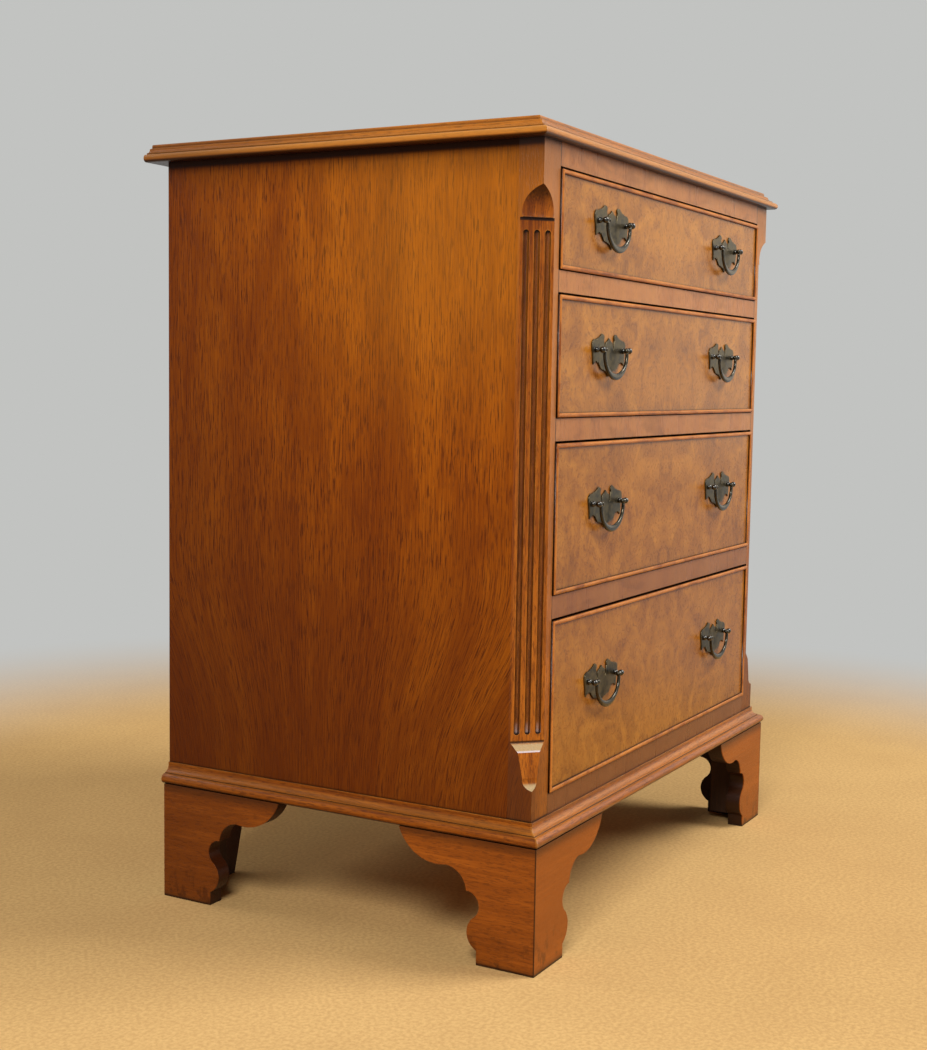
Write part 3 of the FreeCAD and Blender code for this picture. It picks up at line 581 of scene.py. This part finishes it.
def oxidised_brass(name, handles, bright, bloom, worn, gloss, wax):
    """Brass, chemically darkened and waxed: nearly black in the hollows, with a dull grey green
    bloom on sheet and a bright glint on rounded castings."""
    metal = Finish(name, handles.metal_dark)
    blotches = metal.grained("X", 5, 5, 1.0, 6.0)
    metal.lay(handles.metal, metal.risen(blotches, 0.30, 0.66, bright))
    # the bloom is a fine powder, drawn in grains of about 0.7 mm so that it shows
    powder = metal.grained("X", 0.7, 0.7, 2.0)
    metal.lay(handles.metal_bloom, metal.risen(powder, 0.3, 0.6, bloom))
    metal.lay(handles.metal_dark, metal.hollows(2.0, 0.7))
    metal.lay(handles.metal_worn, metal.arrises(0.8, worn))
    bumped = add(metal.tree, "ShaderNodeBump", {"Height": powder, "Distance": 0.04 * MM,
                                                "Strength": 0.5})
    dulled = add(metal.tree, "ShaderNodeMapRange",
                 {0: blotches, 1: 0.3, 2: 0.7, 3: gloss[0], 4: gloss[1]})
    shader = add(metal.tree, "ShaderNodeBsdfPrincipled", {
        "Base Color": metal.shade, "Metallic": 0.85, "Roughness": dulled,
        "Coat Weight": wax, "Coat Roughness": 0.04, "Normal": bumped})
    add(metal.tree, "ShaderNodeOutputMaterial", {"Surface": shader})
    return metal.material


def steel_fixing():
    """Steel, drawn bright and since dulled: grey under a thin brown film."""
    metal = Finish("steel_drawn_dulled", linear("#8d8880"))
    film = metal.grained("X", 2.0, 2.0, 3.0, 4.0)
    metal.lay(linear("#5a4636"), metal.risen(film, 0.4, 0.65))
    dulled = add(metal.tree, "ShaderNodeMapRange", {0: film, 1: 0.3, 2: 0.7, 3: 0.35, 4: 0.6})
    shader = add(metal.tree, "ShaderNodeBsdfPrincipled", {
        "Base Color": metal.shade, "Metallic": 0.9, "Roughness": dulled})
    add(metal.tree, "ShaderNodeOutputMaterial", {"Surface": shader})
    return metal.material


# --- Shapes -----------------------------------------------------------

def in_scene(name, data):
    """An object of this name that holds the data."""
    piece = bpy.data.objects.new(name, data)
    bpy.context.scene.collection.objects.link(piece)
    return piece


def mesh_object(name, made, smooth=True):
    """An object at the origin from a bmesh, its doubles merged and its faces turned outwards."""
    bmesh.ops.remove_doubles(made, verts=made.verts, dist=TOUCHING)
    bmesh.ops.recalc_face_normals(made, faces=made.faces)
    mesh = bpy.data.meshes.new(name)
    made.to_mesh(mesh)
    made.free()
    for polygon in mesh.polygons:
        polygon.use_smooth = smooth
    return in_scene(name, mesh)


def joined_rings(made, rings, closed=False):
    """Skins a run of rings of points, each with the same count. Its ends are capped, unless the
    last ring is joined to the first."""
    loops = [[made.verts.new(point) for point in ring] for ring in rings]
    for near, far in zip(loops, loops[1:] + (loops[:1] if closed else [])):
        for place in range(len(near)):
            after = (place + 1) % len(near)
            made.faces.new((near[place], near[after], far[after], far[place]))
    if not closed:
        made.faces.new(loops[0])
        made.faces.new(loops[-1][::-1])


def turns(sides):
    """The angles of the corners of a round section with this many sides."""
    return [2 * math.pi * side / sides for side in range(sides)]


def turned(made, profile, sides):
    """Skins a turned piece about the Y axis, from (radius, distance out) pairs."""
    joined_rings(made, [[(radius * math.cos(turn), -out, radius * math.sin(turn))
                         for turn in turns(sides)] for radius, out in profile])


def ball(radius, centre, start, end, steps):
    """Points of a ball's outline: (radius, distance out), with angles from its root."""
    points = []
    for step in range(steps + 1):
        turn = math.radians(start + (end - start) * step / steps)
        points.append((radius * math.sin(turn), centre - radius * math.cos(turn)))
    return points


def softened(points):
    """Cuts the corners of an outline twice, apart from those marked sharp."""
    for _ in range(2):
        made = []
        for place, (x, z, sharp) in enumerate(points):
            if sharp:
                made.append((x, z, True))
                continue
            for side in (points[place - 1], points[(place + 1) % len(points)]):
                made.append((x + (side[0] - x) * 0.25, z + (side[1] - z) * 0.25, False))
        points = made
    return [(x, z) for x, z, sharp in points]


def plate_outline():
    """Half of a bat's-wing backplate, in millimetres from the handle's middle: across, up, and
    whether the corner is sharp."""
    return [
        (0.0, 11.5, True), (2.4, 9.4, False), (4.0, 8.2, False), (7.2, 7.4, True),
        (8.4, 4.6, False), (8.7, 1.6, False), (9.2, -0.3, False), (10.3, 0.8, False),
        (10.8, 4.0, False), (11.4, 7.2, False), (12.7, 9.6, True), (11.3, 11.6, False),
        (11.5, 13.6, False), (14.6, 15.1, False), (17.6, 14.8, False), (19.4, 13.0, True),
        (21.0, 12.6, False), (22.8, 11.2, True), (26.0, 11.0, False), (29.5, 9.4, True),
        (33.0, 9.6, False), (36.6, 8.4, False), (38.4, 6.0, False), (38.3, 2.0, False),
        (36.6, -3.2, False), (35.6, -7.4, False), (35.6, -10.4, False), (35.1, -14.2, True),
        (33.0, -12.2, False), (30.6, -11.4, False), (27.6, -10.6, True), (26.6, -12.0, False),
        (25.2, -12.2, False), (24.0, -10.9, True), (22.6, -13.6, False), (20.6, -15.0, True),
        (18.4, -17.6, False), (15.2, -18.6, True), (13.2, -18.4, False), (11.2, -19.2, True),
        (7.4, -19.8, False), (3.4, -21.6, False), (0.0, -24.9, True),
    ]


def plate_mesh(name, centres, handles):
    """Backplates cut from sheet, one at each centre."""
    made = bmesh.new()
    half = plate_outline()
    outline = softened(half + [(-x, z, sharp) for x, z, sharp in half[-2:0:-1]])
    for centre in centres:
        joined_rings(made, [[(centre.x + x * MM, y, centre.z + z * MM) for x, z in outline]
                            for y in (FRONT_Y - handles.plate_thickness, FRONT_Y)])
    piece = mesh_object(name, made, smooth=False)
    bevel = piece.modifiers.new("Filed edge", "BEVEL")
    bevel.width = 0.3 * MM
    bevel.segments = 2
    bevel.limit_method = "ANGLE"
    bevel.angle_limit = math.radians(50)
    return piece


def bail_mesh(name, pivot, handles):
    """A bail on its two pins: a small knuckle at each post, slim arms, and a flat deep grip."""
    made = bmesh.new()
    head_gap, shoulder, pin_radius, pin_gap = 0.5 * MM, 4.0 * MM, 1.1 * MM, 0.4 * MM
    roundness, steps, sides = 0.8, 40, 16
    outer = handles.post_spacing / 2 - handles.head_radius - head_gap
    inner = outer - handles.bail_arm
    deep = handles.bail_drop - shoulder
    path = [((outer, 0.0), (inner, 0.0))]
    for step in range(steps + 1):
        cosine, sine = math.cos(math.pi * step / steps), math.sin(math.pi * step / steps)
        path.append(((outer * cosine, -shoulder - deep * sine),
                     (inner * cosine, -shoulder - (deep - handles.bail_grip) * sine)))
    path.append(((-outer, 0.0), (-inner, 0.0)))
    rings = []
    for far, near in path:
        middle = Vector(((far[0] + near[0]) / 2, 0, (far[1] + near[1]) / 2))
        half = Vector(((far[0] - near[0]) / 2, 0, (far[1] - near[1]) / 2))
        flat = Vector((0, handles.bail_thickness / 2, 0))
        ring = []
        for turn in turns(sides):
            cosine, sine = (math.copysign(abs(part) ** roundness, part)
                            for part in (math.cos(turn), math.sin(turn)))
            ring.append(pivot + middle + half * cosine + flat * sine)
        rings.append(ring)
    joined_rings(made, rings)
    knuckle = handles.knuckle_radius
    upright = Matrix.Rotation(math.pi / 2, 4, "Y")
    for way in (-1, 1):
        centre = pivot + Vector((way * (outer - knuckle), 0, 0))
        bmesh.ops.create_uvsphere(made, u_segments=20, v_segments=12, radius=knuckle,
                                  matrix=Matrix.Translation(centre) @ upright)
        joined_rings(made, [
            [pivot + Vector((way * reach, pin_radius * math.cos(turn), pin_radius * math.sin(turn)))
             for turn in turns(sides)]
            for reach in (outer - knuckle, handles.post_spacing / 2 - pin_gap)])
    return mesh_object(name, made)


def bead_frame(name, low, high):
    """Four cock beads mitred round a drawer front, each with a half-round nose."""
    width, nose, steps = 4.0 * MM, 1.3 * MM, 8
    section = [(0.0, high.y)]
    for step in range(steps + 1):
        turn = math.pi * step / steps
        section.append((width / 2 * (1 - math.cos(turn)), low.y + nose * (1 - math.sin(turn))))
    section.append((width, high.y))
    made = bmesh.new()
    joined_rings(made, [
        [((high.x - inset) * way, y, high.z - inset if upper else low.z + inset)
         for inset, y in section]
        for way, upper in ((-1, False), (1, False), (1, True), (-1, True))], closed=True)
    piece = mesh_object(name, made)
    points = piece.data.vertices
    # the mitres are sharp, and each length's grain runs along it
    for edge in piece.data.edges:
        across, _, up = points[edge.vertices[0]].co - points[edge.vertices[1]].co
        slope = abs(abs(across) - abs(up))
        edge.use_edge_sharp = slope < TOUCHING < abs(across)
    for polygon in piece.data.polygons:
        corners = [points[place].co for place in polygon.vertices]
        wide, _, tall = (max(spread) - min(spread) for spread in zip(*corners))
        polygon.material_index = 0 if wide > tall else 1
    return piece


# --- Geometry node trees ----------------------------------------------

def node_group(name, **sockets):
    """An empty geometry node tree with named inputs and a geometry output."""
    tree = bpy.data.node_groups.new(name, "GeometryNodeTree")
    for label, kind in {"Geometry": "Geometry", **sockets}.items():
        tree.interface.new_socket(label, in_out="INPUT", socket_type="NodeSocket" + kind)
    tree.interface.new_socket("Geometry", in_out="OUTPUT", socket_type="NodeSocketGeometry")
    return tree, tree.nodes.new("NodeGroupInput").outputs


def set_at(points, tree, given):
    """Ends a tree with its piece at each of the points, made real and in its own material."""
    piece = add(tree, "GeometryNodeObjectInfo", {"Object": given["Piece"]}, out="Geometry")
    placed = add(tree, "GeometryNodeInstanceOnPoints", {"Points": points, "Instance": piece})
    whole = add(tree, "GeometryNodeRealizeInstances", {"Geometry": placed})
    done = add(tree, "GeometryNodeSetMaterial", {"Geometry": whole, "Material": given["Material"]})
    add(tree, "NodeGroupOutput", {0: done})
    return tree


def paired_pieces():
    """A piece at each end of a handle: the points are the handles' middles."""
    tree, given = node_group("pieces_at_both_posts", Piece="Object", Spacing="Float",
                             Material="Material")
    both = tree.nodes.new("GeometryNodeJoinGeometry")
    for way in (-0.5, 0.5):
        reach = add(tree, "ShaderNodeMath", {0: given["Spacing"], 1: way}, operation="MULTIPLY")
        offset = add(tree, "ShaderNodeCombineXYZ", {0: reach})
        shifted = add(tree, "GeometryNodeSetPosition", {"Geometry": given["Geometry"],
                                                        "Offset": offset})
        tree.links.new(shifted, both.inputs[0])
    return set_at(both.outputs[0], tree, given)


def row_of_fixings():
    """Fixings set round a rectangle at an even pitch: the pins of a panel."""
    tree, given = node_group("fixings_round_a_panel", Piece="Object", Width="Float",
                             Height="Float", Pitch="Float", Centre="Vector", Material="Material")
    outline = add(tree, "GeometryNodeCurvePrimitiveQuadrilateral", {"Width": given["Width"],
                                                                    "Height": given["Height"]})
    spaced = add(tree, "GeometryNodeResampleCurve", {"Curve": outline, "Length": given["Pitch"]},
                 mode="LENGTH")
    upright = add(tree, "GeometryNodeTransform", {"Geometry": spaced,
                                                  "Rotation": (math.pi / 2, 0, 0),
                                                  "Translation": given["Centre"]})
    return set_at(upright, tree, given)


def grown(name, points, tree, values):
    """Runs a geometry node tree on a cloud of points and keeps its result as a plain mesh."""
    seed = bpy.data.meshes.new(name + "_points")
    seed.from_pydata([tuple(point) for point in points], [], [])
    holder = in_scene(name + "_holder", seed)
    modifier = holder.modifiers.new("Build", "NODES")
    modifier.node_group = tree
    sockets = {item.name: item.identifier
               for item in tree.interface.items_tree if item.in_out == "INPUT"}
    for label, value in values.items():
        modifier[sockets[label]] = value
    bpy.context.view_layer.update()
    ready = holder.evaluated_get(bpy.context.evaluated_depsgraph_get())
    mesh = bpy.data.meshes.new_from_object(ready)
    if not mesh.polygons:
        raise RuntimeError("%s came out empty" % name)
    mesh.name = name
    holder.modifiers.remove(modifier)
    bpy.data.objects.remove(holder)
    return in_scene(name, mesh)


# --- Operators --------------------------------------------------------

def dress(names, material):
    """Gives carried-over boards their finish."""
    for name in names:
        board = frame["nodes"][name]
        board.data.materials.clear()
        board.data.materials.append(material)


class CHEST_OT_carcass(bpy.types.Operator):
    """Finishes the boards, posts, mouldings and feet of the carcass"""
    bl_idname = "chest.carcass"
    bl_label = "Finish the carcass"

    def execute(self, context):
        timber = context.scene.chest_timber
        dress(["side_panel_left", "side_panel_right"], side_veneer(timber))
        dress(["corner_post_left", "corner_post_right"], post_walnut(timber))
        dress(["top_edge_front", "base_moulding_front"],
              solid_walnut("walnut_front_mouldings_polished", timber, "X", 4.1, shine=0.6))
        dress(["top_edge_left", "top_edge_right", "base_moulding_left", "base_moulding_right"],
              solid_walnut("walnut_side_mouldings_polished", timber, "Y", 8.9))
        dress(["top_board"], solid_walnut("walnut_top_polished", timber, "X", 6.6, rubbed=0.0))
        dress(["top_rail", "divider_rail_1", "divider_rail_2", "divider_rail_3", "bottom_rail"],
              rail_walnut(timber))
        dress(["front_foot_left", "front_foot_right", "rear_foot_left", "rear_foot_right"],
              foot_walnut(timber))
        pine = (timber.pine_light, timber.pine_dark, timber.pores)
        dress(["bottom_board", "drawer_stops"],
              bare_timber("pine_planed_dry_long", "X", *pine, (34, 700), 5.0))
        dress(["drawer_runners", "drawer_guides", "top_kickers"],
              bare_timber("pine_planed_dry_deep", "Y", *pine, (30, 500), 9.0))
        dress(["back_panel"], bare_timber("pine_planed_dry_upright", "Z", *pine, (60, 900), 1.2))
        # the glue blocks are stained dark, with painted shade in their colour
        dress(["glue_blocks"], bare_timber("pine_blocks_stained_and_shaded", "Z", timber.block_stain_and_shade_light,
                                           timber.block_stain_and_shade_dark, timber.grime_and_painted_shade, (40, 300), 3.3))
        return {"FINISHED"}


class CHEST_OT_drawers(bpy.types.Operator):
    """Veneers the drawer fronts, sets their cock beads and finishes their linings"""
    bl_idname = "chest.drawers"
    bl_label = "Finish the drawers"

    def execute(self, context):
        timber = context.scene.chest_timber
        burr = burr_veneer(timber)
        long_bead = bead_walnut("walnut_beads_long", timber, "X", 3.7)
        upright_bead = bead_walnut("walnut_beads_upright", timber, "Z", 6.1)
        lining = bare_timber("oak_linings_planed", "Y", timber.lining_light, timber.lining_dark,
                             timber.pores, (24, 380), 2.0)
        for number in DRAWERS:
            dress(["drawer_%d_front" % number], burr)
            dress(["drawer_%d_box" % number, "drawer_%d_bottom" % number], lining)
            node = "drawer_%d_cock_beads" % number
            beads = bead_frame("beads_%d" % number, *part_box(node))
            beads.data.materials.append(long_bead)
            beads.data.materials.append(upright_bead)
            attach(beads, "drawer_%d" % number)
            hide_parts(node)
        return {"FINISHED"}


class CHEST_OT_handles(bpy.types.Operator):
    """Makes the backplates, posts and bails of the eight handles"""
    bl_idname = "chest.handles"
    bl_label = "Make the handles"

    def execute(self, context):
        handles = context.scene.chest_handles
        sheet = oxidised_brass("brass_sheet_oxidised", handles, 1.0, 0.2, 0.5, (0.30, 0.46), 0.0)
        cast = oxidised_brass("brass_castings_oxidised", handles, 0.12, 0.0, 0.12, (0.07, 0.13),
                              1.0)
        drawn = oxidised_brass("brass_bails_oxidised", handles, 0.3, 0.1, 0.1, (0.22, 0.34), 0.3)
        steel = steel_fixing()
        post = self.post(handles)
        nut = self.nut()
        pairs = paired_pieces()
        for number in DRAWERS:
            body = "drawer_%d" % number
            pivots = [HANDLES["%s_bail_%s" % (body, side)] for side in SIDES]
            plates = plate_mesh("backplates_%d" % number, pivots, handles)
            plates.data.materials.append(sheet)
            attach(plates, body)
            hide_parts(body + "_backplates")
            feet = [Vector((pivot.x, FRONT_Y, pivot.z)) for pivot in pivots]
            posts = grown("posts_%d" % number, feet, pairs,
                          {"Piece": post, "Spacing": handles.post_spacing, "Material": cast})
            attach(posts, body)
            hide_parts(body + "_handle_posts")
            back_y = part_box(body + "_front")[1].y
            backs = [Vector((pivot.x, back_y, pivot.z)) for pivot in pivots]
            nuts = grown("nuts_%d" % number, backs, pairs,
                         {"Piece": nut, "Spacing": handles.post_spacing, "Material": steel})
            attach(nuts, body)
            for side, pivot in zip(SIDES, pivots):
                node = "%s_bail_%s" % (body, side)
                bail = bail_mesh("bail_%d_%s" % (number, side), pivot, handles)
                bail.data.materials.append(drawn)
                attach(bail, node)
                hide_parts(node)
        bpy.data.objects.remove(post)
        bpy.data.objects.remove(nut)
        return {"FINISHED"}

    def post(self, handles):
        """A post about its foot on the drawer front: its shank behind, a flange on the plate, a
        ball above it, a neck, and a ball head."""
        standoff = FRONT_Y - next(iter(HANDLES.values())).y
        plate = handles.plate_thickness
        shank, behind, flange, rise, collar = (size * MM for size in (1.7, 18.0, 2.9, 0.35, 1.3))
        made = bmesh.new()
        turned(made, [(shank, -behind), (shank, plate), (flange, plate), (flange, plate + rise)]
               + ball(handles.collar_radius, plate + collar, 58, 142, 8)
               + ball(handles.head_radius, standoff, 27, 178, 14), 24)
        return mesh_object("post_pattern", made)

    def nut(self):
        """A square nut on a washer, with the end of the shank through it."""
        made = bmesh.new()
        washer = ((5.0, 0.0), (5.0, 0.6), (4.4, 0.8))
        turned(made, [(radius * MM, -out * MM) for radius, out in washer], 24)
        body = ((3.3, 0.7), (3.5, 1.0), (3.5, 2.7), (3.1, 3.1))
        square = ((1, 1), (-1, 1), (-1, -1), (1, -1))
        joined_rings(made, [[(half * MM * x, out * MM, half * MM * z) for x, z in square]
                            for half, out in body])
        shank = ((1.8, 2.8), (1.8, 3.0), (1.5, 3.2))
        turned(made, [(radius * MM, -out * MM) for radius, out in shank], 12)
        return mesh_object("nut_pattern", made, smooth=False)


class CHEST_OT_fixings(bpy.types.Operator):
    """Sets the pins of the back panel"""
    bl_idname = "chest.fixings"
    bl_label = "Set the pins"

    def execute(self, context):
        low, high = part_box("back_panel")
        middle = (low + high) / 2
        margin, pitch = 9.0 * MM, 70.0 * MM
        made = bmesh.new()
        domed = ((1.6, 0.0), (1.6, -0.15), (1.1, -0.35), (0.4, -0.42))
        turned(made, [(radius * MM, out * MM) for radius, out in domed], 10)
        head = mesh_object("pin_pattern", made)
        pins = grown("back_pins", [(0, 0, 0)], row_of_fixings(), {
            "Piece": head, "Width": high.x - low.x - margin,
            "Height": high.z - low.z - 2 * margin, "Pitch": pitch,
            "Centre": (middle.x, high.y, middle.z), "Material": steel_fixing()})
        bpy.data.objects.remove(head)
        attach(pins, "carcass")
        return {"FINISHED"}


class CHEST_OT_stage(bpy.types.Operator):
    """Sets the floor, the background, the lamps and the camera"""
    bl_idname = "chest.stage"
    bl_label = "Set the stage"

    def execute(self, context):
        stage = context.scene.chest_stage
        self.floor(stage)
        self.background(stage)
        self.lamp("key", (1.2, -2.3, 2.8), (0.0, -0.1, 0.42), (1.6, 1.6), stage.key_power)
        self.lamp("fill", (-2.6, -0.9, 2.4), (-0.2, 0.0, 0.45), (1.1, 1.1), stage.fill_power)
        self.lamp("back", (-0.4, 2.5, 1.9), (0.0, 0.1, 0.40), (1.4, 1.4), stage.back_power)
        self.lamp("sheen", (3.3, -1.45, 0.95), (0.0, -0.2, 0.5), (1.5, 1.3), stage.sheen_power,
                  "#ffe9c6")
        self.camera(stage)
        context.scene.view_settings.view_transform = "Standard"
        return {"FINISHED"}

    def floor(self, stage):
        """A short-piled floor that melts into the background away from the chest."""
        made = bmesh.new()
        bmesh.ops.create_grid(made, x_segments=1, y_segments=1, size=14.0)
        ground = mesh_object("floor", made, smooth=False)
        carpet = Finish("floor_plain", stage.floor)
        tree = carpet.tree
        pile = carpet.grained("Z", 4, 4, 1.0, 5.0)
        patches = carpet.grained("Z", 130, 130, 2.0, 3.0)
        carpet.lay(stage.floor_worn, carpet.risen(pile, 0.3, 0.7, 0.5))
        carpet.lay(stage.floor_worn, carpet.risen(patches, 0.35, 0.7, 0.14))
        shader = add(tree, "ShaderNodeBsdfPrincipled", {
            "Base Color": carpet.shade, "Roughness": 0.95, "Specular IOR Level": 0.1})
        backdrop = add(tree, "ShaderNodeEmission", {"Color": stage.wall, "Strength": 1.0})
        away = add(tree, "ShaderNodeVectorMath", {0: carpet.place}, out="Value",
                   operation="LENGTH")
        away = add(tree, "ShaderNodeMath", {0: carpet.risen(away, 0.75, 1.6), 1: self.seen(tree)},
                   operation="MULTIPLY")
        surface = add(tree, "ShaderNodeMixShader", {0: away, 1: shader, 2: backdrop})
        add(tree, "ShaderNodeOutputMaterial", {"Surface": surface})
        ground.data.materials.append(carpet.material)

    def seen(self, tree):
        """What the eye sees, straight or in a polished surface, but not what lights the chest."""
        rays = add(tree, "ShaderNodeLightPath").node.outputs
        either = rays["Is Camera Ray"]
        for other in ("Is Glossy Ray", "Is Transmission Ray"):
            either = add(tree, "ShaderNodeMath", {0: either, 1: rays[other]}, operation="MAXIMUM")
        return either

    def background(self, stage):
        """A soft warm light from all round, behind a plain wall."""
        world = bpy.data.worlds.new("studio")
        bpy.context.scene.world = world
        world.use_nodes = True
        tree = world.node_tree
        tree.nodes.clear()
        light = add(tree, "ShaderNodeBackground", {"Color": linear("#fffaf2"),
                                                   "Strength": stage.world_strength})
        shown = add(tree, "ShaderNodeBackground", {"Color": stage.wall, "Strength": 1.0})
        both = add(tree, "ShaderNodeMixShader", {0: self.seen(tree), 1: light, 2: shown})
        add(tree, "ShaderNodeOutputWorld", {"Surface": both})

    def lamp(self, name, place, aim, size, power, tint="#ffffff"):
        """A flat lamp turned towards its aim."""
        data = bpy.data.lights.new(name, "AREA")
        data.color = linear(tint)
        data.shape = "RECTANGLE"
        data.size, data.size_y = size
        data.energy = power
        lamp = in_scene(name, data)
        lamp.location = place
        lamp.rotation_euler = (Vector(aim) - Vector(place)).to_track_quat("-Z", "Y").to_euler()

    def camera(self, stage):
        """A camera before the left front corner, turned by its yaw, pitch and roll."""
        data = bpy.data.cameras.new("camera")
        data.lens = stage.lens
        data.sensor_width = 36.0
        place = (-1.5120, -0.81669, 0.53031)
        yaw, pitch, roll = (math.radians(angle) for angle in (60.76, 5.30, 0.90))
        ahead = Vector((math.sin(yaw) * math.cos(pitch), math.cos(yaw) * math.cos(pitch),
                        -math.sin(pitch)))
        level = Vector((math.cos(yaw), -math.sin(yaw), 0.0))
        upward = level.cross(ahead)
        across = level * math.cos(roll) + upward * math.sin(roll)
        upright = upward * math.cos(roll) - level * math.sin(roll)
        turn = Matrix((across, upright, -ahead)).transposed().to_4x4()
        camera = in_scene("camera", data)
        camera.matrix_world = Matrix.Translation(place) @ turn
        bpy.context.scene.camera = camera


class CHEST_PT_sidebar(bpy.types.Panel):
    """Lists the steps that dress the chest"""
    bl_idname = "CHEST_PT_sidebar"
    bl_label = "Bachelor's chest"
    bl_space_type = "VIEW_3D"
    bl_region_type = "UI"
    bl_category = "Chest"

    def draw(self, context):
        """A button for each step."""
        for step in STEPS:
            self.layout.operator(step.bl_idname)


STEPS = (CHEST_OT_carcass, CHEST_OT_drawers, CHEST_OT_handles, CHEST_OT_fixings, CHEST_OT_stage)
CLASSES = (ChestTimber, ChestHandles, ChestStage) + STEPS + (CHEST_PT_sidebar,)


def register():
    """Adds the classes, and the sizes and colours that each scene holds."""
    for kind in CLASSES:
        bpy.utils.register_class(kind)
    bpy.types.Scene.chest_timber = PointerProperty(type=ChestTimber)
    bpy.types.Scene.chest_handles = PointerProperty(type=ChestHandles)
    bpy.types.Scene.chest_stage = PointerProperty(type=ChestStage)


def unregister():
    """Takes away what register adds."""
    del bpy.types.Scene.chest_timber
    del bpy.types.Scene.chest_handles
    del bpy.types.Scene.chest_stage
    for kind in reversed(CLASSES):
        bpy.utils.unregister_class(kind)


def main():
    """Dresses the chest step by step."""
    register()
    for step in STEPS:
        family, action = step.bl_idname.split(".")
        getattr(getattr(bpy.ops, family), action)()


if __name__ == "__main__":
    main()
